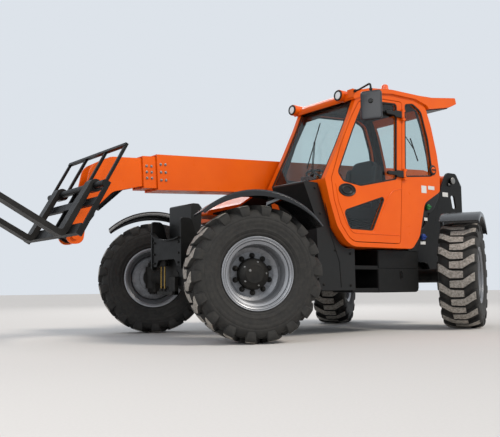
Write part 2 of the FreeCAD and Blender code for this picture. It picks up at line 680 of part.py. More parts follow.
# Roof: a cap over the side outline with a visor behind. x, z, corner radius.
roof_outline = [
    (300, 2480, 12), (330, 2530, 30), (260, 2585, 80), (60, 2640, 300), (-300, 2682, 600),
    (-760, 2690, 300), (-1000, 2704, 200), (-1440, 2770, 14), (-1462, 2700, 14), (-1330, 2640, 60),
    (-940, 2560, 30), (-905, 2590, 0), (-880, 2600, 0), (-700, 2640, 0), (-290, 2635, 0),
    (60, 2585, 0), (262, 2498, 0)]
roof = side_plate("Roof", roof_outline, "Sizes.CabOuterSide + Sizes.RoofOverhang",
                  "Sizes.CabOuterSide - Sizes.CabInnerSide + 2 * Sizes.RoofOverhang")
lamp_x = 330
lamp_z = 2545
lamp_ys = (S["CabOuterSide"] - 150, S["CabInnerSide"] + 20)
lamp_radius = 52
housings = [rod("LampHousing" + n, (lamp_x - 130, y, lamp_z), (lamp_x + 40, y, lamp_z), lamp_radius + 10)
            for n, y in zip(("Left", "Right"), lamp_ys)]
lamp_seats = [rod("LampSeat" + n, (lamp_x, y, lamp_z), (lamp_x + 90, y, lamp_z), lamp_radius + 0.3)
              for n, y in zip(("Left", "Right"), lamp_ys)]
beacon_at = (-330, S["CabOuterSide"] - 110, 2696)
beacon_foot = rod("BeaconFoot", (beacon_at[0], beacon_at[1], 2650), beacon_at, 56)
mirror_foot = block("MirrorFoot", (270, "Sizes.CabOuterSide - 60", 2500),
                    (325, "Sizes.CabOuterSide + Sizes.RoofOverhang", 2590))
roof_solid = fuse("RoofSolid", roof, *housings, beacon_foot, mirror_foot)
cab_room = side_plate("CabRoom", inset(cab_outline, -S["RunningClearance"]),
                      "Sizes.CabOuterSide + Sizes.RunningClearance",
                      "Sizes.CabOuterSide - Sizes.CabInnerSide + 2 * Sizes.RunningClearance")
keep(cut("CabRoof", roof_solid, cab_room, *lamp_seats), "cab_roof")

# Door with its panes
door = side_plate("Door", door_outline, "Sizes.CabOuterSide", "Sizes.CabWall - 5",
                  [door_window, door_low_window])
hinge_bores = [rod("HingeBore%d" % i, (hinge_x, hinge_y, z - 40), (hinge_x, hinge_y, z + 40),
                   hinge_pin + S["RunningClearance"]) for i, z in enumerate(hinge_zs)]
keep(cut("DoorHung", fuse("DoorSolid", door, *barrels), *hinge_bores), "door_panel")
panes = [side_plate("DoorPane" + n, rows, "Sizes.CabOuterSide - 14", "Sizes.GlassThickness")
         for n, rows in (("Upper", door_window), ("Lower", door_low_window))]
keep(group("DoorGlass", *panes), "door_glass")

# Inside the cab
cab_mid = (S["CabOuterSide"] + S["CabInnerSide"]) / 2
floor_top = cab_low + S["CabSkin"]
seat_rows = [
    (-330, floor_top, 0), (140, floor_top, 0), (110, 1200, 30), (190, 1260, 40), (190, 1370, 50),
    (-170, 1350, 40), (-300, 1960, 60), (-400, 1980, 60), (-430, 1900, 40), (-330, 1250, 60)]
seat = side_plate("Seat", seat_rows, cab_mid + 240, 480)
keep(seat, "seat")
column = rod("Column", (470, cab_mid, 1300), (330, cab_mid, 1700), 35)
console_rows = [
    (180, floor_top, 0), (280, floor_top, 0), (420, 1080, 60), (520, 1240, 60), (590, 1450, 60),
    (600, 1545, 20), (520, 1565, 20), (380, 1350, 60), (200, 1010, 60)]
console = side_plate("Console", console_rows, cab_mid + 180, 360)
wheel_ring = doc.addObject("Part::Torus", "SteeringRing")
wheel_ring.Radius1 = 180
wheel_ring.Radius2 = 14
wheel_ring.Placement = placement((330, cab_mid, 1700), (0, 1, 0), -20)
spoke = bar("Spoke", (364, 28, 12), (330, cab_mid, 1700), (0, 1, 0), -20)
keep(fuse("SteeringColumn", column, console, wheel_ring, spoke), "steering_column")

# Lamps, beacon and mirror
beacon = turned("Beacon", [(0, 0), (48, 0), (48, 22), (42, 26), (38, 66), (26, 78), (0, 80)])
keep(beacon, "beacon", beacon_at, (1, 0, 0), 90)
lamps = [rod("Lamp" + n, (lamp_x + 0.3, y, lamp_z), (lamp_x + 46, y, lamp_z), lamp_radius)
         for n, y in zip(("Left", "Right"), lamp_ys)]
keep(group("WorkLamps", *lamps), "work_lamps")
mirror_at = (385, 1450, 2335)
mirror_plate = bar("MirrorPlate", (28, 220, 300), mirror_at, (0, 0, 1), 28)
roof_edge = S["CabOuterSide"] + S["RoofOverhang"]
elbow = (300, roof_edge + 60, 2565)
wrist = (385, 1450, 2565)
arms = [rod("MirrorStub", (300, roof_edge, 2565), elbow, 11), rod("MirrorArm", elbow, wrist, 10),
        rod("MirrorDrop", wrist, (385, 1450, 2400), 9), ball("MirrorElbow", elbow, 16),
        ball("MirrorWrist", wrist, 16)]
keep(fuse("Mirror", mirror_plate, *arms), "mirror")

# Side boxes and panels on the left
front_panel_rows = [
    (960, 1570, 20), (760, 1560, 10), (690, 1370, 200), (600, 1110, 200), (430, 905, 200),
    (250, 905, 10), (250, 470, 20), (760, 470, 60), (790, 1190, 200)]
front_room = rod("FrontRoom", (half_base, 1200, tyre_radius), (half_base, 200, tyre_radius),
                 "Sizes.FrontWheelRoom - 25")
rear_room = rod("RearRoom", (-half_base, 1200, tyre_radius), (-half_base, 200, tyre_radius),
                "Sizes.RearWheelRoom - 25")
front_panel = cut("FrontPanel", side_plate("FrontPanelPlate", front_panel_rows, 1040, 500), front_room)
rear_panel_rows = [
    (-600, 905, 30), (-740, 1060, 200), (-856, 1452, 120), (-1120, 1588, 20), (-1180, 1568, 20),
    (-1010, 1380, 150), (-840, 1060, 200), (-820, 905, 20)]
rear_panel = cut("RearPanel", side_plate("RearPanelPlate", rear_panel_rows, 1010, 470), rear_room)
keep(group("SidePanels", front_panel, rear_panel), "side_panels")
tank_rows = [(-820, 905, 20), (-140, 905, 20), (-140, 440, 20), (-820, 440, 60)]
tank = side_plate("TankBox", tank_rows, 1000, "1000 - Sizes.FrameHalfWidth")
keep(cut("TankArched", tank, rear_room), "side_box")
step_rails = [block("StepRail" + n, (-140, 960, z0), (250, 1000, z0 + 40))
              for n, z0 in (("Low", 450), ("Mid", 690))]
step_treads = [block("StepTread" + n, (-140, "Sizes.FrameHalfWidth", z0), (250, 962, z0 + 25))
               for n, z0 in (("Low", 460), ("Mid", 700))]
keep(group("Step", fuse("StepLow", step_rails[0], step_treads[0]),
           fuse("StepMid", step_rails[1], step_treads[1])), "step")

# Engine pod on the right, with its hood
pod_in = S["FrameHalfWidth"] + S["PodInset"]
pod_out = S["PodOuterSide"]
pod_front = half_base - S["FrontWheelRoom"]
pod_rear = -half_base + S["RearWheelRoom"]
pod_top = S["PodTop"]
pod_low = S["PodFloor"]
wall = S["PodWall"]
pod_rows = [
    (pod_front, pod_low + 60, 60), (pod_front, pod_top, 0), (pod_rear, pod_top, 0),
    (pod_rear, pod_low + 60, 60), (pod_rear + 60, pod_low, 40), (pod_front - 60, pod_low, 40)]
pod_outer = side_plate("PodOuter", pod_rows, -pod_in, pod_out - pod_in)
pod_hollow_rows = [
    (pod_front - wall, pod_low + 100, 40), (pod_front - wall, pod_top + 50, 0),
    (pod_rear + wall, pod_top + 50, 0), (pod_rear + wall, pod_low + 100, 40),
    (pod_rear + 90, pod_low + wall, 20), (pod_front - 90, pod_low + wall, 20)]
pod_hollow = side_plate("PodHollow", pod_hollow_rows, -pod_in - wall, pod_out - pod_in - 2 * wall)
pod_bracket = block("PodBracket", (pod_rear + 300, -pod_in, 560),
                    (pod_front - 300, "-Sizes.FrameHalfWidth", 860))

# Hood hinges: pins on the pod's rear wall, barrels on the hood round them
hood_pin_x = pod_rear - 25
hood_pin_z = pod_top + 15
hood_hinge_ys = (-(pod_in + 170), -(pod_out - 170))
pod_lugs = []
for i, y in enumerate(hood_hinge_ys):
    pod_lugs.append(rod("PodPin%d" % i, (hood_pin_x, y - 72, hood_pin_z),
                        (hood_pin_x, y + 72, hood_pin_z), hinge_pin))
    for n, y0 in (("Right", y - 68), ("Left", y + 42)):
        pod_lugs.append(block("PodLugFoot%s%d" % (n, i), (hood_pin_x - 16, y0, pod_top - 70),
                              (pod_rear, y0 + 26, pod_top - 5)))
        pod_lugs.append(block("PodLug%s%d" % (n, i), (hood_pin_x - 16, y0, pod_top - 6),
                              (hood_pin_x + 15, y0 + 26, hood_pin_z + 16)))
keep(fuse("EnginePod", cut("PodTub", pod_outer, pod_hollow), pod_bracket, *pod_lugs), "engine_pod")
engine = block("EngineBlock", (pod_rear + 350, -pod_out + 150, pod_low + wall),
               (pod_front - 360, -pod_in - 100, pod_top - 60))
keep(group("Engine", engine), "engine_block")

hood_nose = half_base - 370
hood_rows = [
    (hood_nose, 1330, 20), (hood_nose - 20, 1385, 60), (pod_front - 60, 1490, 300), (pod_front - 410, 1720, 300),
    (pod_rear + 100, 1760, 200), (pod_rear, 1600, 100), (pod_rear, pod_top + 6, 0),
    (pod_front, pod_top + 6, 0), (pod_front + 60, 1330, 20)]
hood_full = side_plate("HoodFull", hood_rows, -pod_in, pod_out - pod_in)
nose_out = fender_in + kingpin - 100
hood_corner = block("HoodCorner", (pod_front + 40, -pod_out - 10, 1200), (hood_nose + 100, -nose_out, 2000))
hood_outer = cut("HoodOuter", hood_full, hood_corner)
hood_skin = S["HoodSkin"]
hood_hollow_rows = inset(hood_rows, hood_skin)
for i in (6, 7):
    hood_hollow_rows[i] = (hood_hollow_rows[i][0], pod_top - 50, 0)
hollow_full = side_plate("HoodHollowFull", hood_hollow_rows, -pod_in - hood_skin,
                         pod_out - pod_in - 2 * hood_skin)
hollow_corner = block("HoodHollowCorner", (pod_front + 40 - hood_skin, -pod_out - 10, 1100),
                      (hood_nose + 100, -nose_out + hood_skin, 2000))
hood_hollow = cut("HoodHollow", hollow_full, hollow_corner)
louvres = [block("Louvre%d" % i, (pod_rear + 120, -pod_out - 1, pod_top + 70 + 45 * i),
                 (pod_rear + 620, -pod_out + hood_skin * 0.5, pod_top + 92 + 45 * i)) for i in range(6)]
hood_shell = cut("HoodShell", hood_outer, hood_hollow, *louvres)

hood_barrels = []
hood_bores = []
for i, y in enumerate(hood_hinge_ys):
    ends = ((hood_pin_x, y - 40, hood_pin_z), (hood_pin_x, y + 40, hood_pin_z))
    hood_barrels.append(rod("HoodBarrel%d" % i, *ends, 19))
    hood_barrels.append(block("HoodLeaf%d" % i, (hood_pin_x - 12, y - 40, hood_pin_z),
                              (pod_rear, y + 40, hood_pin_z + 110)))
    hood_bores.append(rod("HoodBore%d" % i, (hood_pin_x, y - 50, hood_pin_z),
                          (hood_pin_x, y + 50, hood_pin_z), hinge_pin + S["RunningClearance"]))
keep(cut("Hood", fuse("HoodSolid", hood_shell, *hood_barrels), *hood_bores), "engine_hood")

# Boom, drawn level with its pivot at the origin. Each section is a box tube, and pads in
# each mouth and on each tail guide the next one.
tube_low = -S["BoomHeight"] / 2 - 20
tube_high = S["BoomHeight"] / 2 - 20
half_boom = S["BoomWidth"] / 2
step_in = S["BoomWall"] + S["SectionGap"]
pad_gap = S["SectionGap"] - 0.4


def tube(name, x0, x1, level, front_rows):
    """Box tube of a boom section: level 0 is the outer one."""
    z0 = tube_low + level * step_in
    z1 = tube_high - level * step_in
    y = half_boom - level * step_in
    rows = front_rows if front_rows else [(x0, z0, 0), (x1, z0, 0), (x1, z1, 0), (x0, z1, 0)]
    body = side_plate(name + "Solid", rows, y, 2 * y)
    t = S["BoomWall"]
    hollow = block(name + "Hollow", (x0 + (200 if level == 0 else -10), -y + t, z0 + t),
                   (x1 + 10, y - t, z1 - t))
    return cut(name + "Tube", body, hollow)


def pads_ring(name, x0, level, outside):
    """Four guide pads of a section, inside its mouth or outside its tail."""
    t = S["BoomWall"]
    y = half_boom - level * step_in
    z0 = tube_low + level * step_in
    z1 = tube_high - level * step_in
    low = 0 if outside else t
    pieces = []
    for n, ya, yb, za, zb in (
            ("Low", -y + 40, y - 40, z0 - pad_gap if outside else z0 + t,
             z0 if outside else z0 + t + pad_gap),
            ("High", -y + 40, y - 40, z1 if outside else z1 - t - pad_gap,
             z1 + pad_gap if outside else z1 - t),
            ("Left", y if outside else y - t - pad_gap, y + pad_gap if outside else y - t,
             z0 + 60, z1 - 60),
            ("Right", -y - pad_gap if outside else -y + t, -y if outside else -y + t + pad_gap,
             z0 + 60, z1 - 60)):
        pieces.append(block(name + n, (x0, ya, za), (x0 + 110, yb, zb)))
    return pieces


base_rows = [
    (-95, -70, 60), (-60, -150, 40), (330, tube_low, 120), (S["BoomLength"], tube_low, 0),
    (S["BoomLength"], tube_high, 0), (380, tube_high, 200), (60, 100, 120), (-95, 70, 70)]
eye_x = 1600
eye_drop = tube_low - 100
base_tube = tube("BaseSection", 130, S["BoomLength"], 0, base_rows)
eye_rows = [(eye_x - 160, tube_low + 2, 0), (eye_x - 60, eye_drop - 50, 60), (eye_x + 60, eye_drop - 50, 60),
            (eye_x + 160, tube_low + 2, 0)]
lift_ears = [side_plate("LiftEar" + n, eye_rows, y, 25, [[eye_x, eye_drop, S["PinRadius"] + 10]])
             for n, y in (("Left", 75), ("Right", -50))]
# The rod's eye drifts from its pin, so the pin is two stubs with room for the eye between them
stub_in = S["EyeWidth"] / 2 + 8
lift_stubs = [rod("LiftStub" + n, (eye_x, sign * stub_in, eye_drop), (eye_x, sign * 90, eye_drop),
                  "Sizes.PinRadius + 10") for n, sign in (("Left", 1), ("Right", -1))]
boom_bore = rod("BoomBore", (0, half_boom + 10, 0), (0, -half_boom - 10, 0),
                "Sizes.BoomPinRadius + Sizes.RunningClearance")
bosses = [rod("PivotBoss" + n, (0, y0, 0), (0, y1, 0), "Sizes.BoomPinRadius + 40")
          for n, y0, y1 in (("Left", half_boom, S["FrameHalfWidth"] - S["FramePlate"] - 6),
                            ("Right", -S["FrameHalfWidth"] + S["FramePlate"] + 6, -half_boom))]
boom_solid = fuse("BoomOuterSolid", base_tube, *pads_ring("MouthPadA", S["BoomLength"] - 120, 0, False),
                  *lift_ears, *lift_stubs, *bosses)
long_bore = rod("BoomBoreLong", (0, 400, 0), (0, -400, 0), "Sizes.BoomPinRadius + Sizes.RunningClearance")
boom_place = ((pivot_x, 0, pivot_z), (0, 1, 0), S["BoomAngle"])
keep(cut("BoomOuter", boom_solid, long_bore), "boom_outer", *boom_place)

mid_end = S["BoomLength"] + S["SectionStep"]
mid_tube = tube("MidSection", 400, mid_end, 1, None)
boom_mid = fuse("BoomMid", mid_tube, *pads_ring("MouthPadB", mid_end - 120, 1, False),
                *pads_ring("TailPadB", 402, 1, True))
keep(boom_mid, "boom_mid", *boom_place)

nose_x = mid_end + S["HeadReach"]
nose_z = -S["HeadDrop"]
inner_end = mid_end + 60
inner_tube = tube("InnerSection", 520, inner_end, 2, None)
inner_half = half_boom - 2 * step_in
inner_low = tube_low + 2 * step_in
inner_high = tube_high - 2 * step_in
head_rows = [
    (mid_end + 14, inner_high, 0), (mid_end + 330, inner_high, 120), (nose_x - 190, nose_z + 660, 140),
    (nose_x - 120, nose_z + 400, 200), (nose_x - 55, nose_z + 265, 100), (nose_x + 70, nose_z + 110, 90),
    (nose_x + 80, nose_z - 75, 75), (nose_x - 80, nose_z - 75, 75), (nose_x - 130, nose_z + 180, 120),
    (mid_end + 330, inner_low - 60, 160), (mid_end + 14, inner_low, 0)]
tilt_foot = (mid_end - 20, 20.0)
pin_bore = [nose_x, nose_z, S["CarriagePinRadius"]]
cheeks = [side_plate("Cheek" + n, head_rows, y, "Sizes.HeadPlate", [pin_bore])
          for n, y in (("Left", inner_half), ("Right", -inner_half + S["HeadPlate"]))]
cheek_in = inner_half - S["HeadPlate"]
head_top = block("HeadTop", (mid_end + 14, -cheek_in, inner_high - 16),
                 (mid_end + 330, cheek_in, inner_high))
nose_pin = rod("NosePin", (nose_x, inner_half + 20, nose_z), (nose_x, -inner_half - 20, nose_z),
               "Sizes.CarriagePinRadius")
foot_pin = rod("TiltFootPin", (tilt_foot[0], inner_half, tilt_foot[1]),
               (tilt_foot[0], -inner_half, tilt_foot[1]), "Sizes.PinRadius")
boom_inner = fuse("BoomInner", inner_tube, *cheeks, head_top, nose_pin, foot_pin,
                  *pads_ring("TailPadC", 522, 2, True))
keep(boom_inner, "boom_inner", *boom_place)

# Carriage, drawn upright with its pin at the origin, then tilted back
wide = S["CarriageWidth"] / 2
tall = S["CarriageHeight"]
ear_out = cheek_in - 8
ear_width = 25
ear_rows = [(-60, -60, 60), (70, -60, 20), (150, -120, 20), (150, 420, 30), (90, 420, 60), (-10, 330, 50),
            (-85, 290, 45), (-60, 120, 80)]
tilt_ear = (-45.0, 300.0)
ear_holes = [[0, 0, S["CarriagePinRadius"] + S["RunningClearance"]],
             [tilt_ear[0] + 5, tilt_ear[1] - 15, S["PinRadius"]]]
ears = [side_plate("CarriageEar" + n, ear_rows, y, ear_width, ear_holes)
        for n, y in (("Left", ear_out), ("Right", -ear_out + ear_width))]
tilt_eye = (tilt_ear[0] + 5, tilt_ear[1] - 15)
tilt_stubs = [rod("TiltStub" + n, (tilt_eye[0], sign * stub_in, tilt_eye[1]),
                  (tilt_eye[0], sign * (ear_out + 4), tilt_eye[1]), "Sizes.PinRadius")
              for n, sign in (("Left", 1), ("Right", -1))]
low_bar = block("CarriageLowBar", (140, -wide, -120), (180, wide, -20))
high_bar = rod("CarriageShaft", (165, -wide, 400), (165, wide, 400), 32)
mid_bar = block("CarriageMidBar", (140, -wide, 180), (165, wide, 260))
posts = [block("CarriagePost" + n, (120, y, -120), (160, y + 30, 432))
         for n, y in (("Left", wide - 30), ("Right", -wide))]
rack_posts = [block("RackPost" + n, (150, y, 400), (175, y + 30, tall + 240))
              for n, y in (("A", wide - 30), ("B", 200), ("C", -230), ("D", -wide))]
rack_rail = block("RackRail", (150, -wide, tall + 240), (180, wide, tall + 270))
carriage = fuse("CarriageFrame", *ears, *tilt_stubs, low_bar, high_bar, mid_bar, *posts, *rack_posts, rack_rail)
carriage_at = world((nose_x, nose_z), (pivot_x, pivot_z), S["BoomAngle"])
carriage_place = ((carriage_at[0], 0, carriage_at[1]), (0, 1, 0), -S["CarriageTilt"])
keep(carriage, "carriage", *carriage_place)

# Fork blade: x, z, corner radius. Its eye hangs on the carriage's shaft.
t = S["ForkThickness"]
shaft_at = (165, 400)
shaft_radius = 32
heel = 180.3
fork_rows = [
    (heel, 330, 20), (105, 370, 50), (105, 460, 58), (225, 460, 58), (heel + 45, 330, 60),
    (heel + 55, -110, 30), (heel + S["ForkLength"] - 120, -118, 60), (heel + S["ForkLength"], -146, 6),
    (heel + S["ForkLength"], -154, 6), (heel + 120, -110 - t, 60), (heel + 20, -110 - t, 50),
    (heel, -90, 60)]
forks = []
for name, sign in (("ForkLeft", 1), ("ForkRight", -1)):
    y = sign * S["ForkSpacing"] / 2 + S["ForkWidth"] / 2
    blade = side_plate(name + "Blade", fork_rows, y, "Sizes.ForkWidth",
                       [[shaft_at[0], shaft_at[1], shaft_radius + S["RunningClearance"]]])
    forks.append(blade)
keep(group("Forks", *forks), "forks", *carriage_place)


def cylinder(name, foot, eye, barrel_radius, rod_radius, closed):
    """A barrel and a rod between two pins, drawn along X with the foot at the origin."""
    span = (FreeCAD.Vector(*eye, 0) - FreeCAD.Vector(*foot, 0)).Length
    width = S["EyeWidth"]
    foot_eye = plate(name + "FootEye", "XZ_Plane", ring(0, 0, barrel_radius), -width / 2, width)
    tail = rod(name + "Tail", (0, 0, 0), (100, 0, 0), barrel_radius * 0.8)
    shell = rod(name + "Shell", (80, 0, 0), (closed - 60, 0, 0), barrel_radius)
    bore = rod(name + "Bore", (140, 0, 0), (closed, 0, 0), rod_radius + 0.3)
    foot_bore = rod(name + "FootBore", (0, 100, 0), (0, -100, 0), foot_pin_radius(name) + 0.3)
    barrel = cut(name + "Barrel", fuse(name + "BarrelSolid", foot_eye, tail, shell), bore, foot_bore)
    stem = rod(name + "Stem", (160, 0, 0), (span - 20, 0, 0), rod_radius)
    eye_ring = plate(name + "Eye", "XZ_Plane", ring(span, 0, rod_radius + 28), -width / 2, width)
    eye_bore = rod(name + "EyeBore", (span, 100, 0), (span, -100, 0), foot_pin_radius(name) + 0.3)
    ram = cut(name + "Ram", fuse(name + "RamSolid", stem, eye_ring), eye_bore)
    return barrel, ram, span


def foot_pin_radius(name):
    return S["PinRadius"] + 10 if name == "Lift" else S["PinRadius"]


lift_eye = world((eye_x, eye_drop), (pivot_x, pivot_z), S["BoomAngle"])
tilt_foot_at = world(tilt_foot, (pivot_x, pivot_z), S["BoomAngle"])
tilt_eye_at = world(tilt_eye, carriage_at, -S["CarriageTilt"])
for name, foot, eye, big, small in (
        ("Lift", lift_foot, lift_eye, S["LiftBarrelRadius"], S["LiftRodRadius"]),
        ("Tilt", tilt_foot_at, tilt_eye_at, S["TiltBarrelRadius"], S["TiltRodRadius"])):
    length = math.hypot(eye[0] - foot[0], eye[1] - foot[1])
    slope = math.degrees(math.atan2(eye[1] - foot[1], eye[0] - foot[0]))
    barrel, ram, span_length = cylinder(name, foot, eye, big, small, length - 40)
    keep(barrel, name.lower() + "_barrel", (foot[0], 0, foot[1]), (0, 1, 0), -slope)
    keep(ram, name.lower() + "_rod", (foot[0], 0, foot[1]), (0, 1, 0), -slope)
    print(name, "cylinder: foot", foot, "eye", eye, "length", length, "slope", slope)

doc.recompute()
for item in doc.Objects:
    if "Invalid" in item.State or "Error" in item.State:
        raise RuntimeError("%s failed" % item.Name)
low = [1e9] * 3
high = [-1e9] * 3
bad = [i.Label for i in parts if i.Shape.isNull() or not i.Shape.isValid() or not i.Shape.Solids]
if bad:
    raise RuntimeError("no valid shape: " + ", ".join(bad))
for item in parts:
    box = item.Shape.BoundBox
    low = [min(p, q) for p, q in zip(low, (box.XMin, box.YMin, box.ZMin))]
    high = [max(p, q) for p, q in zip(high, (box.XMax, box.YMax, box.ZMax))]
for item in parts:
    item.Shape.exportStep("parts/" + item.Label + ".step")
print("sub-parts", len(parts), "box", [round(v, 1) for v in low], [round(v, 1) for v in high])
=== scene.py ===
import math

import bmesh
import bpy
from mathutils import Matrix, Vector


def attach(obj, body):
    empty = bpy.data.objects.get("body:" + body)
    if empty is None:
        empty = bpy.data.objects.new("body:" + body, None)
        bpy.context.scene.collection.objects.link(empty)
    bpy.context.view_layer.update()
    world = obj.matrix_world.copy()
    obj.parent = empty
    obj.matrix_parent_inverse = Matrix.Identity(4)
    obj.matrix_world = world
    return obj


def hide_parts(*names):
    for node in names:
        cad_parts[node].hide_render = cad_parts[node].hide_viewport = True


# The telehandler's finishes and the pieces too fine for its solids. Metres throughout:
# X forward, Y to the machine's left, Z up, origin under the middle of its box.

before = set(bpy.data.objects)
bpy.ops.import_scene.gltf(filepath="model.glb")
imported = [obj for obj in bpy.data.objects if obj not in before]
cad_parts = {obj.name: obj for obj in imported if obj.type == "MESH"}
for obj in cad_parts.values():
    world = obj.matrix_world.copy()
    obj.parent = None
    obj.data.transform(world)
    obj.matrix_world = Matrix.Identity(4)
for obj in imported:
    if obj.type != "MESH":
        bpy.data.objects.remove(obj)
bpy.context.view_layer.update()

# Driving dimensions, in metres and degrees. Most x are given from the middle of the wheelbase.
MM = 0.001
BOX_CENTRE = 0.745
HALF_BASE = 1.55
TYRE_RADIUS = 0.633
KINGPIN_Y = 0.9
WHEEL_OFFSET = 0.15
STEER = {"front_left": -22.1, "front_right": -26.7, "rear_left": 28.4, "rear_right": 36.1}
BOOM_PIVOT = (-2.45, 1.95)
BOOM_ANGLE = 3.3

# Faces that fittings sit on: the cab's outside and inside, the lining's depth from both,
# and the outer faces of the panels, the side box, the towers, the engine pod, the front plate
# and the rear weight
CAB_OUTER = 1.12
CAB_INNER = 0.2
CAB_MIDDLE = (CAB_OUTER + CAB_INNER) / 2
LINING_DEPTH = 0.0562
FRONT_PANEL_Y = 1.04
REAR_PANEL_Y = 1.01
SIDE_BOX_Y = 1.0
TOWER_Y = 0.30
POD_Y = -1.11
FRONT_PLATE_X = 1.915
REAR_FACE_X = -2.7405
SEAT_GAP = 0.0003


# Small helpers

def linear(hex_colour):
    """An sRGB hex value as linear red, green, blue and alpha."""
    values = [int(hex_colour[i:i + 2], 16) / 255 for i in (1, 3, 5)]
    return tuple(v / 12.92 if v <= 0.04045 else ((v + 0.055) / 1.055) ** 2.4 for v in values) + (1.0,)


def add_node(tree, kind, settings=None, **sockets):
    """Add a node. Settings are its attributes. A socket takes a plain value, a node, which stands
    for that node's first output, or (node, output)."""
    node = tree.nodes.new(kind)
    for key, value in (settings or {}).items():
        setattr(node, key, value)
    for key, value in sockets.items():
        socket = node.inputs[int(key[1:])] if key[0] == "_" else node.inputs[key.replace("_", " ")]
        if isinstance(value, bpy.types.Node):
            value = (value, 0)
        if isinstance(value, tuple) and isinstance(value[0], bpy.types.Node):
            tree.links.new(value[0].outputs[value[1]], socket)
        else:
            socket.default_value = value
    return node


# Settings of the nodes that blend, and the output of the one that mixes colours
RGBA = {"data_type": "RGBA"}
MULTIPLY = {"operation": "MULTIPLY"}
MIXED_COLOUR = 2


def new_material(name):
    """An empty material, its node tree and the object's own coordinates in it."""
    material = bpy.data.materials.new(name)
    material.use_nodes = True
    tree = material.node_tree
    tree.nodes.clear()
    return material, tree, (add_node(tree, "ShaderNodeTexCoord"), "Object")


def patches(tree, place, size_mm, detail=3.0, rough=0.6, low=0.0, high=1.0):
    """Soft patches of about the given size, stretched so that low becomes 0 and high becomes 1."""
    cloud = add_node(tree, "ShaderNodeTexNoise", {}, Vector=place, Scale=1000.0 / size_mm, Detail=detail,
                     Roughness=rough)
    return add_node(tree, "ShaderNodeMapRange", {}, Value=cloud, From_Min=low, From_Max=high)


def blotched(tree, place, first, second, size_mm, detail=3.0, rough=0.6, low=0.0, high=1.0):
    """One colour with soft patches of another, about the given size."""
    amount = patches(tree, place, size_mm, detail, rough, low, high)
    return (add_node(tree, "ShaderNodeMix", RGBA, _0=amount, _6=first, _7=second), MIXED_COLOUR)


def dusted(tree, place, colour, dust, top, strength):
    """Lay pale site dust over a colour: thick near the ground, patchy, thin above a height."""
    position = add_node(tree, "ShaderNodeNewGeometry")
    split = add_node(tree, "ShaderNodeSeparateXYZ", {}, Vector=(position, "Position"))
    height = add_node(tree, "ShaderNodeMapRange", {}, Value=(split, "Z"), From_Min=0.0, From_Max=top,
                      To_Min=1.0, To_Max=0.12)
    settled = add_node(tree, "ShaderNodeMath", MULTIPLY, _0=height,
                       _1=patches(tree, place, 90, 5.0, 0.7, 0.35, 0.75))
    amount = add_node(tree, "ShaderNodeMath", MULTIPLY, _0=settled, _1=strength)
    return (add_node(tree, "ShaderNodeMix", RGBA, _0=amount, _6=colour, _7=linear(dust)), MIXED_COLOUR)


# Materials

def coated_steel(name, colour, shade, roughness, peel_mm, dust, coat=0.0, metallic=0.0, ior=1.38):
    """Sprayed enamel on pressed or welded steel: even gloss, soft edges and an orange peel that
    is drawn a few times too coarse, so that it shows."""
    material, tree, place = new_material(name)
    base = blotched(tree, place, linear(colour), linear(shade), 420, 2.0, low=0.3, high=0.7)
    edge = add_node(tree, "ShaderNodeBevel", {"samples": 4}, Radius=0.004)
    peel = add_node(tree, "ShaderNodeBump", {}, Strength=0.06, Distance=0.0006,
                    Height=patches(tree, place, peel_mm), Normal=edge)
    gloss = add_node(tree, "ShaderNodeMapRange", {}, Value=patches(tree, place, 60, 4.0), From_Min=0.3,
                     From_Max=0.7, To_Min=roughness - 0.05, To_Max=roughness + 0.08)
    shader = add_node(tree, "ShaderNodeBsdfPrincipled", {}, Roughness=gloss, Metallic=metallic, IOR=ior,
                      Base_Color=dusted(tree, place, base, "#8A8278", 2.2, dust), Coat_Weight=coat,
                      Coat_Roughness=0.08, Normal=peel)
    add_node(tree, "ShaderNodeOutputMaterial", {}, Surface=shader)
    return material


def moulded_plastic(name, colour, shade, roughness, grain_mm, dust, ior=1.4):
    """Moulded polyethylene or ABS: a spark-eroded grain, drawn coarser than its real 0.3 mm, that
    scatters the highlight."""
    material, tree, place = new_material(name)
    base = blotched(tree, place, linear(colour), linear(shade), 150)
    edge = add_node(tree, "ShaderNodeBevel", {"samples": 4}, Radius=0.005)
    cells = add_node(tree, "ShaderNodeTexVoronoi", {}, Vector=place, Scale=1000.0 / grain_mm)
    grain = add_node(tree, "ShaderNodeBump", {}, Strength=0.12, Distance=0.0008, Height=cells, Normal=edge)
    shader = add_node(tree, "ShaderNodeBsdfPrincipled", {}, Roughness=roughness, IOR=ior, Normal=grain,
                      Base_Color=dusted(tree, place, base, "#8C857B", 2.4, dust))
    add_node(tree, "ShaderNodeOutputMaterial", {}, Surface=shader)
    return material


def tyre_rubber():
    """Vulcanised tyre rubber: dull, brown-black, with smears of dry dust on it."""
    material, tree, place = new_material("vulcanised_tyre_rubber")
    base = blotched(tree, place, linear("#100F0E"), linear("#1B1A18"), 40, 6.0, 0.7)
    dusty = blotched(tree, place, base, linear("#2A2824"), 55, 6.0, 0.75, 0.42, 0.72)
    skin = add_node(tree, "ShaderNodeBump", {}, Strength=0.35, Distance=0.0012,
                    Height=patches(tree, place, 5, 6.0, 0.7))
    shader = add_node(tree, "ShaderNodeBsdfPrincipled", {}, Base_Color=dusty, Roughness=0.78, IOR=1.52,
                      Normal=skin)
    add_node(tree, "ShaderNodeOutputMaterial", {}, Surface=shader)
    return material


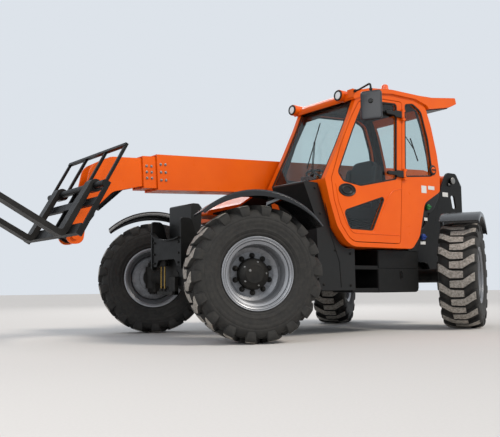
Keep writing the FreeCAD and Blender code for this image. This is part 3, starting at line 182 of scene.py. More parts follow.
def lug_rubber():
    """The worn face of a lug: scuffed grey by dry concrete dust, with darker pits."""
    material, tree, place = new_material("scuffed_lug_rubber")
    base = blotched(tree, place, linear("#625D56"), linear("#B2ACA3"), 26, 8.0, 0.78, 0.36, 0.62)
    pits = add_node(tree, "ShaderNodeBump", {}, Strength=0.6, Distance=0.0015,
                    Height=patches(tree, place, 7, 8.0, 0.75))
    shader = add_node(tree, "ShaderNodeBsdfPrincipled", {}, Base_Color=base, Roughness=0.9, IOR=1.5,
                      Normal=pits)
    add_node(tree, "ShaderNodeOutputMaterial", {}, Surface=shader)
    return material


def rim_paint():
    """Aluminium-coloured enamel on a pressed steel rim, darkened by painted shade in the dish and other
    recesses, broken into patches.
    """
    material, tree, place = new_material("silver_rim_enamel")
    clean = blotched(tree, place, linear("#9EA0A4"), linear("#85878B"), 160)
    # Painted shade: ambient occlusion darkens the paint in the dish and the recesses, in patches
    open_air = add_node(tree, "ShaderNodeAmbientOcclusion", {"samples": 8}, Distance=0.16)
    cavity_shade = add_node(tree, "ShaderNodeMapRange", {}, Value=(open_air, "AO"), From_Min=0.92, From_Max=0.45)
    patchy = add_node(tree, "ShaderNodeMath", {"operation": "MULTIPLY_ADD"},
                      _0=patches(tree, place, 38, 6.0, 0.7, 0.38, 0.72), _1=0.40, _2=0.42)
    patchy_cavity_shade = add_node(tree, "ShaderNodeMath", MULTIPLY, _0=cavity_shade, _1=patchy)
    # The near-black brown that the painted shade mixes into the silver
    cavity_shaded = add_node(tree, "ShaderNodeMix", RGBA, _0=patchy_cavity_shade, _6=clean, _7=linear("#211F1D"))
    edge = add_node(tree, "ShaderNodeBevel", {"samples": 4}, Radius=0.003)
    peel = add_node(tree, "ShaderNodeBump", {}, Strength=0.08, Distance=0.0006, Height=patches(tree, place, 4),
                    Normal=edge)
    shader = add_node(tree, "ShaderNodeBsdfPrincipled", {}, Base_Color=(cavity_shaded, MIXED_COLOUR), Roughness=0.36,
                      Metallic=0.5, Normal=peel)
    add_node(tree, "ShaderNodeOutputMaterial", {}, Surface=shader)
    return material


def tinted_glass():
    """Toughened safety glass with a light grey-green tint, seen as a thin pane."""
    material, tree, _ = new_material("tinted_safety_glass")
    clear = add_node(tree, "ShaderNodeBsdfTransparent", {}, Color=linear("#EEF4F4"))
    mirror = add_node(tree, "ShaderNodeBsdfGlossy", {}, Color=linear("#FFFFFF"), Roughness=0.02)
    grazing = add_node(tree, "ShaderNodeLayerWeight", {}, Blend=0.12)
    facing = add_node(tree, "ShaderNodeMapRange", {}, Value=(grazing, "Facing"), To_Min=0.006, To_Max=0.21)
    pane = add_node(tree, "ShaderNodeMixShader", {}, _0=facing, _1=clear, _2=mirror)
    add_node(tree, "ShaderNodeOutputMaterial", {}, Surface=pane)
    return material


def chromed_rod():
    """Hard chrome on a ground rod: a bright mirror, faintly uneven from grinding."""
    material, tree, place = new_material("hard_chrome")
    ground = add_node(tree, "ShaderNodeBump", {}, Strength=0.05, Distance=0.0003,
                      Height=patches(tree, place, 3))
    shader = add_node(tree, "ShaderNodeBsdfPrincipled", {}, Base_Color=linear("#C9CBCE"), Roughness=0.12,
                      Metallic=1.0, Normal=ground)
    add_node(tree, "ShaderNodeOutputMaterial", {}, Surface=shader)
    return material


def seat_vinyl():
    """Embossed black vinyl over foam: a pebbled grain about 2 mm across."""
    material, tree, place = new_material("embossed_vinyl")
    cells = add_node(tree, "ShaderNodeTexVoronoi", {}, Vector=place, Scale=1000.0 / 2)
    grain = add_node(tree, "ShaderNodeBump", {}, Strength=0.3, Distance=0.0008, Height=cells)
    shader = add_node(tree, "ShaderNodeBsdfPrincipled", {}, Roughness=0.6, IOR=1.5, Normal=grain,
                      Base_Color=blotched(tree, place, linear("#161618"), linear("#1F1F22"), 80))
    add_node(tree, "ShaderNodeOutputMaterial", {}, Surface=shader)
    return material


def moulded_lens(name, colour):
    """Moulded polycarbonate lens: fine flutes, drawn as waves with their bands across Y."""
    material, tree, place = new_material(name)
    flutes = add_node(tree, "ShaderNodeTexWave", {"bands_direction": "Y"}, Vector=place, Scale=50.0)
    bump = add_node(tree, "ShaderNodeBump", {}, Strength=0.4, Distance=0.001, Height=flutes)
    shader = add_node(tree, "ShaderNodeBsdfPrincipled", {}, Base_Color=linear(colour), Roughness=0.12,
                      IOR=1.58, Coat_Weight=0.5, Normal=bump)
    add_node(tree, "ShaderNodeOutputMaterial", {}, Surface=shader)
    return material


ORANGE = coated_steel("orange_enamel", "#E75F06", "#DF5704", 0.32, 3, 0.03, coat=0.05, ior=1.3)
BLACK_STEEL = coated_steel("black_chassis_enamel", "#090A0A", "#0D0D0D", 0.42, 3, 0.015, ior=1.3)
CASTING = coated_steel("black_painted_casting", "#0B0B0A", "#141311", 0.55, 9, 0.08, ior=1.33)
FORK_STEEL = coated_steel("black_fork_enamel", "#0D0D0D", "#151413", 0.45, 4, 0.05, ior=1.33)
IRON = coated_steel("grey_engine_iron", "#333331", "#42403C", 0.6, 8, 0.4)
WHITE_PLATE = coated_steel("bare_white_plate", "#D9D9D6", "#CFCFCB", 0.4, 5, 0.1)
ZINC = coated_steel("zinc_plated_bolts", "#8F9092", "#7C7A74", 0.35, 2, 0.2, metallic=0.8, ior=1.5)
YELLOW_ZINC = coated_steel("yellow_chromated_zinc", "#957A40", "#7C6535", 0.34, 2, 0.15, metallic=0.8, ior=1.5)

BLACK_PLASTIC = moulded_plastic("black_moulded_polyethylene", "#090A0A", "#0E0F0F", 0.44, 1.5, 0.012)
FENDER_PLASTIC = moulded_plastic("black_moulded_fender", "#0C0D10", "#111215", 0.24, 2.5, 0.03, ior=1.52)
RUBBER = moulded_plastic("black_seal_rubber", "#0C0C0C", "#131313", 0.62, 1.2, 0.05)
TINT_BAND = moulded_plastic("dark_screen_band", "#101214", "#101214", 0.08, 5.0, 0.0)
LINING = moulded_plastic("charcoal_cab_lining", "#0F1011", "#151617", 0.8, 3.0, 0.0)
MIRROR_SHELL = moulded_plastic("dark_grey_mirror_shell", "#26272B", "#2B2C30", 0.22, 2.0, 0.0)
CAP_GREEN = moulded_plastic("green_fill_cap", "#0E7A35", "#0C6D2F", 0.4, 2.0, 0.1)
CAP_BLUE = moulded_plastic("blue_fill_cap", "#1C3C8C", "#18357D", 0.4, 2.0, 0.1)

LAMP_LENS = moulded_lens("clear_lamp_lens", "#E4E6E6")
BEACON_LENS = moulded_lens("amber_beacon_lens", "#F0641E")
RED_LENS = moulded_lens("red_tail_lens", "#B01414")
AMBER_LENS = moulded_lens("amber_turn_lens", "#E07A10")

TYRE = tyre_rubber()
LUG = lug_rubber()
RIM = rim_paint()
GLASS = tinted_glass()
CHROME = chromed_rod()
VINYL = seat_vinyl()

NODE_MATERIALS = {
    ORANGE: ("cab_side_left", "cab_side_right", "cab_front", "cab_floor", "cab_rear", "cab_roof",
             "door_panel", "engine_hood", "boom_outer", "boom_mid", "boom_inner"),
    BLACK_STEEL: ("frame_sides", "frame_crossplates", "rear_weight", "engine_pod", "side_box", "step",
                  "carriage", "lift_barrel", "tilt_barrel"),
    BLACK_PLASTIC: ("front_cover", "side_panels", "steering_column", "mirror"),
    FENDER_PLASTIC: tuple("fender_" + w for w in STEER),
    CASTING: ("axle_front", "axle_rear") + tuple("knuckle_" + w for w in STEER),
    GLASS: ("glass_front", "glass_rear", "glass_quarter", "glass_right", "door_glass"),
    VINYL: ("seat",),
    FORK_STEEL: ("forks",),
    CHROME: ("lift_rod", "tilt_rod"),
    LAMP_LENS: ("work_lamps",),
    BEACON_LENS: ("beacon",),
    IRON: ("engine_block",),
    RIM: tuple("rim_" + w for w in STEER),
    TYRE: tuple("tyre_" + w for w in STEER),
}
for material, names in NODE_MATERIALS.items():
    for name in names:
        for slot in bpy.data.objects[name].material_slots:
            slot.material = material


# Camera, floor and light

def add_object(name, data):
    """An object for a camera, lamp or mesh, linked to the scene."""
    thing = bpy.data.objects.new(name, data)
    bpy.context.collection.objects.link(thing)
    return thing


def set_camera():
    """The photograph's own view: fitted to the four tyres."""
    yaw, pitch, roll = (math.radians(v) for v in (232.577, 5.711, -0.545))
    forward = Vector((math.cos(yaw) * math.cos(pitch), math.sin(yaw) * math.cos(pitch), math.sin(pitch)))
    level = Vector((math.sin(yaw), -math.cos(yaw), 0.0))
    upright = level.cross(forward)
    right = level * math.cos(roll) + upright * math.sin(roll)
    up = upright * math.cos(roll) - level * math.sin(roll)
    data = bpy.data.cameras.new("photo_camera")
    data.sensor_width = 36.0
    data.lens = 49.71
    data.clip_end = 200.0
    camera = add_object("photo_camera", data)
    turn = Matrix((right, up, -forward)).transposed().to_4x4()
    camera.matrix_world = Matrix.Translation(row(5.523, 6.129, 0.508)) @ turn
    bpy.context.scene.camera = camera


def area_light(name, at, target, size, power, glint=1.0):
    """A square soft box aimed at a point. Glint scales what it adds to reflections."""
    data = bpy.data.lights.new(name, "AREA")
    data.size = size
    data.energy = power
    data.specular_factor = glint
    light = add_object(name, data)
    light.location = at
    light.rotation_euler = (Vector(target) - Vector(at)).to_track_quat("-Z", "Y").to_euler()


def sun_light(name, source, strength, spread, colour):
    """A soft parallel light from a direction, so the floor is as bright far off as near."""
    data = bpy.data.lights.new(name, "SUN")
    data.energy = strength
    data.angle = spread
    data.color = linear(colour)[:3]
    light = add_object(name, data)
    light.rotation_euler = (-Vector(source)).to_track_quat("-Z", "Y").to_euler()


def set_floor():
    """Pale cast concrete with a fine mottle, wide enough to reach the horizon."""
    material, tree, place = new_material("pale_studio_floor")
    base = blotched(tree, place, linear("#CBC8C5"), linear("#D5D2CF"), 15, 6.0)
    shader = add_node(tree, "ShaderNodeBsdfPrincipled", {}, Base_Color=base, Roughness=0.9, IOR=1.3)
    add_node(tree, "ShaderNodeOutputMaterial", {}, Surface=shader)
    reach = 60.0
    mesh = bpy.data.meshes.new("studio_floor")
    mesh.from_pydata([(x * reach, y * reach, 0) for x, y in ((-1, -1), (1, -1), (1, 1), (-1, 1))], [],
                     [(0, 1, 2, 3)])
    mesh.materials.append(material)
    floor = add_object("studio_floor", mesh)


def set_world():
    """A pale backdrop for the camera, through glass and in reflections, and a softer grey that lights."""
    world = bpy.data.worlds.new("studio")
    bpy.context.scene.world = world
    world.use_nodes = True
    tree = world.node_tree
    tree.nodes.clear()
    path = add_node(tree, "ShaderNodeLightPath")
    direct = add_node(tree, "ShaderNodeMath", {"operation": "MAXIMUM"}, _0=(path, "Is Camera Ray"),
                      _1=(path, "Is Transmission Ray"))
    seen = add_node(tree, "ShaderNodeMath", {"operation": "MAXIMUM"}, _0=direct, _1=(path, "Is Glossy Ray"))
    backdrop = add_node(tree, "ShaderNodeBackground", {}, Color=linear("#DDE3EA"), Strength=1.0)
    light = add_node(tree, "ShaderNodeBackground", {}, Color=linear("#D4DCE6"), Strength=0.75)
    both = add_node(tree, "ShaderNodeMixShader", {}, _0=seen, _1=light, _2=backdrop)
    add_node(tree, "ShaderNodeOutputWorld", {}, Surface=both)


# Mesh helpers

def row(x, y, z):
    """A point given from the middle of the wheelbase, in the row's frame."""
    return Vector((x - BOX_CENTRE, y, z))


def link_piece(name, form, body, materials, sharp=32.0, bevel=0.0, place=None):
    """Make an object of a form: finishes, smooth shading, rounded edges, and the body it rides on."""
    mesh = finish_mesh(name, form) if isinstance(form, bmesh.types.BMesh) else form
    for material in materials if isinstance(materials, tuple) else (materials,):
        mesh.materials.append(material)
    for face in mesh.polygons:
        face.use_smooth = True
    mesh.set_sharp_from_angle(angle=math.radians(sharp))
    piece = add_object(name, mesh)
    if place is not None:
        piece.matrix_world = place
    if bevel:
        rounding = piece.modifiers.new("rounding", "BEVEL")
        rounding.width = bevel
        rounding.segments = 2
        rounding.limit_method = "ANGLE"
        rounding.angle_limit = math.radians(40)
    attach(piece, body)
    return piece


def finish_mesh(name, bm):
    """A mesh of a form, its faces turned outward."""
    bmesh.ops.recalc_face_normals(bm, faces=bm.faces)
    mesh = bpy.data.meshes.new(name)
    bm.to_mesh(mesh)
    bm.free()
    return mesh


def add_ring(bm, centre, u, v, sides, turn=0.0):
    """A ring of vertices round a centre, or one vertex where its radius is nil."""
    if u.length < 1e-6:
        return [bm.verts.new(centre)]
    angles = (2 * math.pi * i / sides + turn for i in range(sides))
    return [bm.verts.new(centre + u * math.cos(a) + v * math.sin(a)) for a in angles]


def skin_rings(bm, rings, material=0, capped=False):
    """Faces between closed rings of vertices. A ring of one vertex is a pole."""
    sides = max(len(ring) for ring in rings)
    for first, second in zip(rings, rings[1:]):
        for i in range(sides):
            j = (i + 1) % sides
            corners = (first[i % len(first)], first[j % len(first)], second[j % len(second)],
                       second[i % len(second)])
            unique = list(dict.fromkeys(corners))
            if len(unique) > 2:
                bm.faces.new(unique).material_index = material
    for ring in (rings[0], rings[-1][::-1]) if capped else ():
        if len(ring) > 2:
            bm.faces.new(ring).material_index = material


def add_lathe(bm, profile, sides, material=0):
    """Turn (radius, y) points about the Y axis, with open ends."""
    rings = [add_ring(bm, Vector((0, y, 0)), Vector((radius, 0, 0)), Vector((0, 0, radius)), sides)
             for radius, y in profile]
    skin_rings(bm, rings, material)



def sample_outline(rows, per_arc=6):
    """Points round a closed outline whose corners are (u, v, corner radius)."""
    points = []
    for i, (u, v, r) in enumerate(rows):
        before = Vector(rows[i - 1][:2])
        here = Vector((u, v))
        after = Vector(rows[(i + 1) % len(rows)][:2])
        back = before - here
        forth = after - here
        half = back.angle(forth) / 2
        reach = min(r / math.tan(half), 0.48 * back.length, 0.48 * forth.length)
        radius = max(reach * math.tan(half), 1e-5)
        centre = here + (back.normalized() + forth.normalized()).normalized() * (radius / math.sin(half))
        start = here + back.normalized() * reach
        end = here + forth.normalized() * reach
        for k in range(per_arc):
            t = k / (per_arc - 1)
            ray = (start - centre).lerp(end - centre, t)
            points.append(centre + ray.normalized() * radius)
    return points


def inset_outline(rows, distance):
    """The outline moved inward by a distance, corner for corner."""
    area = sum(rows[i - 1][0] * rows[i][1] - rows[i][0] * rows[i - 1][1] for i in range(len(rows)))
    side = 1.0 if area > 0 else -1.0
    moved = []
    for i, (u, v, r) in enumerate(rows):
        before = (Vector((u, v)) - Vector(rows[i - 1][:2])).normalized()
        after = (Vector(rows[(i + 1) % len(rows)][:2]) - Vector((u, v))).normalized()
        n1 = Vector((-before.y, before.x)) * side
        n2 = Vector((-after.y, after.x)) * side
        point = Vector((u, v)) + (n1 + n2) * (distance / (1 + n1.dot(n2)))
        moved.append((point.x, point.y, max(r - distance, 0.0)))
    return moved


def side_loop(bm, points, y):
    """Vertices at the (x, z) points of a side view."""
    return [bm.verts.new((p[0] - BOX_CENTRE, y, p[1])) for p in points]


def add_prism(bm, points, y0, y1, material=0):
    """Extrude a closed outline in X and Z along Y."""
    skin_rings(bm, [side_loop(bm, points, y) for y in (y0, y1)], material, True)


def add_band(bm, outer, inner, y0, y1, material=0):
    """A frame between two outlines with as many points, from y0 to y1."""
    loops = [side_loop(bm, line, y) for line, y in ((outer, y0), (outer, y1), (inner, y1), (inner, y0))]
    skin_rings(bm, loops + loops[:1], material)


def add_holed_plate(bm, outer, hole, y0, y1, material=0):
    """A flat plate between two outlines with any number of points."""
    sides = []
    for y in (y0, y1):
        loops = [side_loop(bm, line, y) for line in (outer, hole)]
        edges = [bm.edges.new((line[i - 1], line[i])) for line in loops for i in range(len(line))]
        filled = bmesh.ops.triangle_fill(bm, use_beauty=True, edges=edges)
        for face in filled["geom"]:
            if isinstance(face, bmesh.types.BMFace):
                face.material_index = material
        sides.append(loops)
    for near, far in zip(*sides):
        skin_rings(bm, [near, far], material)


def add_box(bm, low, high, material=0):
    corners = [bm.verts.new((x, y, z)) for x in (low[0], high[0]) for y in (low[1], high[1])
               for z in (low[2], high[2])]
    for face in ((0, 1, 3, 2), (4, 6, 7, 5), (0, 4, 5, 1), (2, 3, 7, 6), (0, 2, 6, 4), (1, 5, 7, 3)):
        bm.faces.new([corners[i] for i in face]).material_index = material


def frame_of(axis):
    """Two directions square to an axis."""
    axis = Vector(axis).normalized()
    side = axis.orthogonal().normalized()
    return side, axis.cross(side)


def add_disc_stack(bm, at, axis, profile, sides, material=0, turn=0.0):
    """A turned or many-sided form about any axis: profile rows are (radius, distance along)."""
    u, v = frame_of(axis)
    ahead = Vector(axis).normalized()
    rings = [add_ring(bm, Vector(at) + ahead * along, u * radius, v * radius, sides, turn)
             for radius, along in profile]
    skin_rings(bm, rings, material, True)


def add_bolt(bm, at, axis, across, height, material=0):
    """A hexagon head with its chamfer, on a washer. It measures (across) its flats."""
    radius = across / math.sqrt(3)
    washer = height * 0.22
    add_disc_stack(bm, at, axis, [(radius * 1.35, 0.0), (radius * 1.35, washer)], 18, material)
    add_disc_stack(bm, at, axis, [(radius, washer), (radius, washer + height * 0.85),
                                  (radius * 0.84, washer + height), (0, washer + height)], 6, material)


def add_tube(bm, points, radius, sides=12, material=0):
    """A round bar along a line of points, with closed ends."""
    points = [Vector(p) for p in points]
    rings = []
    side = None
    for i, p in enumerate(points):
        ahead = (points[min(i + 1, len(points) - 1)] - points[max(i - 1, 0)]).normalized()
        side = (side - ahead * side.dot(ahead)).normalized() if side else frame_of(ahead)[0]
        rings.append(add_ring(bm, p, side * radius, ahead.cross(side) * radius, sides))
    skin_rings(bm, rings, material, True)


def smooth_line(corners, per_corner=8, radius=0.05):
    """Points along straight runs joined by round bends of about a radius."""
    corners = [Vector(c) for c in corners]
    points = [corners[0]]
    for a, b, c in zip(corners, corners[1:], corners[2:]):
        back, forth = a - b, c - b
        half = back.angle(forth) / 2
        reach = min(radius / math.tan(half), 0.48 * back.length, 0.48 * forth.length)
        start = b + back.normalized() * reach
        end = b + forth.normalized() * reach
        for k in range(per_corner + 1):
            t = k / per_corner
            points.append(start.lerp(b, t).lerp(b.lerp(end, t), t))
    points.append(corners[-1])
    return points


# Wheels

LUGS_PER_SIDE = 18
LUG_DROP = 0.085
LUG_PHASE = LUG_DROP / TYRE_RADIUS - math.pi / 2

# Half the carcass, from the crown over the sidewall's mouldings to the bead: y, radius
CARCASS = ((0.0, 0.596), (0.07, 0.595), (0.135, 0.589), (0.173, 0.578), (0.197, 0.560), (0.210, 0.538),
           (0.2165, 0.522), (0.2205, 0.505), (0.2185, 0.500), (0.2215, 0.494), (0.2215, 0.465),
           (0.2195, 0.461), (0.2205, 0.455), (0.218, 0.432), (0.2115, 0.408), (0.214, 0.402),
           (0.212, 0.396), (0.205, 0.380), (0.200, 0.372), (0.201, 0.366), (0.1975, 0.357),
           (0.192, 0.348), (0.188, 0.343), (0.1855, 0.339), (0.176, 0.313))

# Stations of a lug from its inner end to its foot on the sidewall:
# y, top radius, y of the root, root radius, share of the drop, half width
LUG_STATIONS = (
    (-0.075, 0.6315, -0.089, 0.592, 1.0, 0.041),
    (-0.034, 0.6328, -0.034, 0.592, 1.0, 0.044),
    (0.034, 0.6328, 0.034, 0.592, 1.0, 0.046),
    (0.071, 0.6320, 0.071, 0.590, 0.96, 0.048),
    (0.103, 0.6305, 0.103, 0.588, 0.72, 0.049),
    (0.143, 0.6275, 0.143, 0.582, 0.38, 0.050),
    (0.177, 0.6230, 0.171, 0.572, 0.12, 0.051),
    (0.201, 0.6160, 0.188, 0.560, 0.0, 0.051),
    (0.2175, 0.5980, 0.196, 0.548, 0.0, 0.050),
    (0.222, 0.5750, 0.201, 0.540, 0.0, 0.047),
    (0.222, 0.5520, 0.2055, 0.528, 0.0, 0.043),
    (0.2195, 0.5300, 0.212, 0.518, 0.0, 0.037),
)
# Points across a lug: share of the half width, and how far its edge is rounded down. The first and
# the last are its roots.
LUG_ACROSS = ((-1.16, None), (-1.0, 0.003), (-0.92, 0.0), (-0.45, 0.0), (0.0, 0.0), (0.45, 0.0), (0.92, 0.0),
              (1.0, 0.003), (1.16, None))
TREAD_STATIONS = 7


def add_lug(bm, side, phase):
    """One stepped lug on one side of the tread. Its top is scuffed rubber."""
    rows = []
    for y, top, root_y, root, drop, half in LUG_STATIONS:
        middle = phase - drop * LUG_DROP / TYRE_RADIUS
        ring = []
        for share, rounding in LUG_ACROSS:
            radius, out = (root, root_y) if rounding is None else (top - rounding, y)
            a = middle + share * half / TYRE_RADIUS
            ring.append(bm.verts.new((radius * math.cos(a), side * out, radius * math.sin(a))))
        rows.append(ring)
    for n, (first, second) in enumerate(zip(rows, rows[1:])):
        for k in range(len(first) - 1):
            face = bm.faces.new((first[k], first[k + 1], second[k + 1], second[k]))
            face.material_index = 1 if 1 < k < len(first) - 3 and n < TREAD_STATIONS else 0
    for ring in (rows[0], rows[-1]):
        bm.faces.new(ring)


def tyre_mesh():
    """The carcass with its two rows of lugs, half a pitch apart."""
    bm = bmesh.new()
    add_lathe(bm, [(r, y) for y, r in CARCASS[::-1]] + [(r, -y) for y, r in CARCASS[1:]], 144)
    for side, shift in ((1, 0.0), (-1, 0.5)):
        for i in range(LUGS_PER_SIDE):
            add_lug(bm, side, LUG_PHASE + 2 * math.pi * (i + shift) / LUGS_PER_SIDE)
    return finish_mesh("tyre_with_lugs", bm)


# The planetary hub's black casting, just proud of the solid hub: radius, y
HUB_COVER = ((0.1455, -0.0075), (0.1485, -0.004), (0.1485, 0.008), (0.1428, 0.014), (0.1428, 0.0565),
             (0.1395, 0.060), (0.1285, 0.0688), (0.0963, 0.0808), (0.0863, 0.0888), (0.030, 0.0888),
             (0.0, 0.0888))

# Beads of the flange, the lock ring and the dish, and between them black rings that are painted shade in the
# gaps: radius, y, thickness, finish
RIM_BEADS_AND_GAP_SHADE = ((0.3335, 0.1945, 0.0045, 0), (0.3215, 0.1935, 0.0022, 1), (0.3075, 0.1875, 0.0040, 0),
             (0.2992, 0.1735, 0.0026, 1), (0.2722, 0.1620, 0.0035, 0))


def on_circle(radius, count, turn=0.0):
    """(x, z) points round a circle, from an angle."""
    angles = (2 * math.pi * i / count + turn for i in range(count))
    return [(radius * math.cos(a), radius * math.sin(a)) for a in angles]


def rim_dress_mesh():
    """Beads of the flange and lock ring with black rings of painted shade in their gaps, wheel nuts on their
    studs, hub bolts and the valve.
    """
    bm = bmesh.new()
    outward = (0, 1, 0)
    # Finish 1 draws the gap rings in black casting paint, as painted shade
    for radius, y, thick, finish in RIM_BEADS_AND_GAP_SHADE:
        section = on_circle(thick, 10)
        add_lathe(bm, [(radius + u, y + 0.9 * v) for u, v in section + section[:1]], 96, finish)
    disc_y = -0.008
    for x, z in on_circle(0.171, 10, 0.31):
        add_bolt(bm, (x, disc_y, z), outward, 0.034, 0.024, 1)
        add_disc_stack(bm, (x, disc_y + 0.02, z), outward, [(0.010, 0), (0.010, 0.016), (0.008, 0.018)], 12, 1)
    add_lathe(bm, HUB_COVER, 64, 1)
    for x, z in on_circle(0.112, 5, 0.6):
        add_bolt(bm, (x, 0.0745, z), outward, 0.012, 0.007, 2)
    add_bolt(bm, (0.045, 0.089, 0.03), outward, 0.016, 0.008, 2)
    add_tube(bm, [(0.250, 0.012, 0.06), (0.250, 0.05, 0.064), (0.250, 0.075, 0.066)], 0.005, 10, 1)
    return finish_mesh("rim_dress", bm)


def mirrored_mesh(mesh):
    """The same mesh for the machine's right side."""
    copy = mesh.copy()
    copy.transform(Matrix.Scale(-1, 4, Vector((0, 1, 0))))
    copy.flip_normals()
    return copy


def make_wheels():
    """A lugged tyre and the rim's fittings on each wheel, turned as it is steered."""
    tyres = tyre_mesh()
    dress = rim_dress_mesh()
    for label, angle in STEER.items():
        hand = 1 if "left" in label else -1
        end = 1 if "front" in label else -1
        place = (Matrix.Translation(row(end * HALF_BASE, hand * KINGPIN_Y, TYRE_RADIUS))
                 @ Matrix.Rotation(math.radians(angle), 4, "Z")
                 @ Matrix.Translation((0, hand * WHEEL_OFFSET, 0)))
        tyre, trim = (mesh.copy() if hand > 0 else mirrored_mesh(mesh) for mesh in (tyres, dress))
        piece = link_piece("lugged_tyre_" + label, tyre, "wheel_" + label, (TYRE, LUG), 40, 0, place)
        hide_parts("tyre_" + label)
        link_piece("wheel_nuts_" + label, trim, "wheel_" + label, (RIM, CASTING, ZINC), 30, 0,
                   place)


# Cab outlines of the source, in millimetres: x, z, corner radius

CAB_OUTLINE = (
    (735, 1600, 30), (668, 1370, 300), (575, 1120, 260), (400, 920, 260), (-590, 920, 110),
    (-720, 1060, 200), (-830, 1450, 120), (-1110, 1600, 50), (-1120, 1790, 200),
    (-1080, 2040, 600), (-985, 2370, 600), (-880, 2610, 160), (-700, 2650, 200), (-290, 2645, 600),
    (60, 2595, 400), (260, 2510, 80), (350, 2310, 500), (520, 1980, 900))
DOOR_WINDOW = (
    (555, 1680, 50), (475, 1590, 60), (215, 1560, 150), (-360, 1680, 40), (-400, 2545, 40),
    (-60, 2520, 200), (175, 2440, 90), (330, 2150, 300))
DOOR_LOW_WINDOW = ((480, 1290, 50), (395, 1100, 60), (45, 1095, 50), (-175, 1490, 30))
QUARTER_WINDOW = (
    (-500, 1720, 40), (-530, 2560, 40), (-670, 2588, 100), (-820, 2520, 120), (-930, 2200, 400),
    (-1000, 1770, 50))
RIGHT_WINDOW = (
    (540, 1700, 50), (-1000, 1700, 60), (-930, 2200, 400), (-820, 2510, 120), (-670, 2570, 100),
    (-60, 2530, 200), (175, 2440, 90), (350, 2130, 300))

# Insets from the cab's outline: the windscreen's inner face, and the lining on the floor and walls
SCREEN_INSET = 0.0092
LINING_INSET = 0.0365


def in_metres(rows):
    return [(x * MM, z * MM, r * MM) for x, z, r in rows]


def add_seal(bm, rows, outside, inside, y0, y1, material=0):
    """A rubber profile round a pane, between two offsets of the opening's outline."""
    rows = in_metres(rows)
    add_band(bm, sample_outline(inset_outline(rows, outside)), sample_outline(inset_outline(rows, inside)),
             y0, y1, material)


def add_sheet(bm, line, y0, y1, thickness, material=0):
    """A sheet of even thickness along a line of (x, z) points, spread across the machine."""
    line = [Vector(p) for p in line]
    normals = []
    for i in range(len(line)):
        ahead = (line[min(i + 1, len(line) - 1)] - line[max(i - 1, 0)]).normalized()
        normals.append(Vector((-ahead.y, ahead.x)) * thickness)
    ring = line + [p + n for p, n in zip(line, normals)][::-1]
    near, far = (side_loop(bm, ring, y) for y in (y0, y1))
    last = len(ring) - 1
    for side, turn in ((near, 1), (far, -1)):
        for i in range(len(line) - 1):
            quad = (side[i], side[i + 1], side[last - 1 - i], side[last - i])
            bm.faces.new(quad[::turn]).material_index = material
    skin_rings(bm, [far, near], material)


def add_dish(bm, at, half_width, half_height, profile, sides=48, material=0):
    """An oval turned form facing left: profile rows are (share of the radius, y outward)."""
    rings = [add_ring(bm, Vector(at) + Vector((0, out, 0)), Vector((half_width * share, 0, 0)),
                      Vector((0, 0, half_height * share)), sides) for share, out in profile]
    skin_rings(bm, rings, material)


def front_run(distance, low, high):
    """The windscreen's line from bottom to top, at a distance inside the cab's outline."""
    points = sample_outline(inset_outline(in_metres(CAB_OUTLINE), distance), 12)
    return sorted((p for p in points if p.x > 0.1 and low < p.y < high), key=lambda p: p.y)


def low_run(distance, top):
    """The cab's outline below a height, from the screen's foot round the floor to the back."""
    points = sample_outline(inset_outline(in_metres(CAB_OUTLINE), distance), 8)
    return [p for p in points if p.y < top]


def make_glazing():
    """Rubber round the panes, and the dark bands baked onto the windscreen's edges."""
    bm = bmesh.new()
    inside, outside = CAB_OUTER - 0.0135, CAB_OUTER - 0.0015
    add_seal(bm, QUARTER_WINDOW, 0.0015, 0.017, inside, outside)
    add_seal(bm, RIGHT_WINDOW, 0.0015, 0.017, CAB_INNER + 0.0015, CAB_INNER + 0.0175)
    add_seal(bm, RIGHT_WINDOW, -0.035, 0.0, CAB_INNER + 0.0555, CAB_INNER + 0.063)
    left, right = CAB_OUTER - 0.0555, CAB_INNER + 0.0555
    whole = front_run(SCREEN_INSET, 1.60, 2.50)
    for y0, y1 in ((left - 0.026, left), (right, right + 0.026)):
        add_sheet(bm, whole, y0, y1, 0.0012)
    add_sheet(bm, front_run(SCREEN_INSET, 1.60, 1.66), right, left, 0.0012)
    add_sheet(bm, [p for p in whole if p.y > 2.40], right, left, 0.0010, 1)
    link_piece("window_seals", bm, "chassis", (RUBBER, TINT_BAND))

    bm = bmesh.new()
    for rows in (DOOR_WINDOW, DOOR_LOW_WINDOW):
        add_seal(bm, rows, 0.0015, 0.017, inside, outside)
    link_piece("door_seals", bm, "door", RUBBER)


def make_cab_lining():
    """The grey headliner and the black underside of the roof's rear visor."""
    bm = bmesh.new()
    line = ((-0.84, 2.555), (-0.69, 2.60), (-0.29, 2.60), (0.05, 2.555), (0.235, 2.475))
    add_sheet(bm, line, CAB_INNER + 0.057, CAB_OUTER - 0.057, 0.012)
    link_piece("headliner", bm, "chassis", LINING)
    bm = bmesh.new()
    line = ((-0.965, 2.5625), (-1.325, 2.634), (-1.435, 2.6965))
    add_sheet(bm, line, CAB_INNER + 0.02, CAB_OUTER - 0.02, 0.006)
    link_piece("visor_underside", bm, "chassis", BLACK_PLASTIC, 30, 0.002)


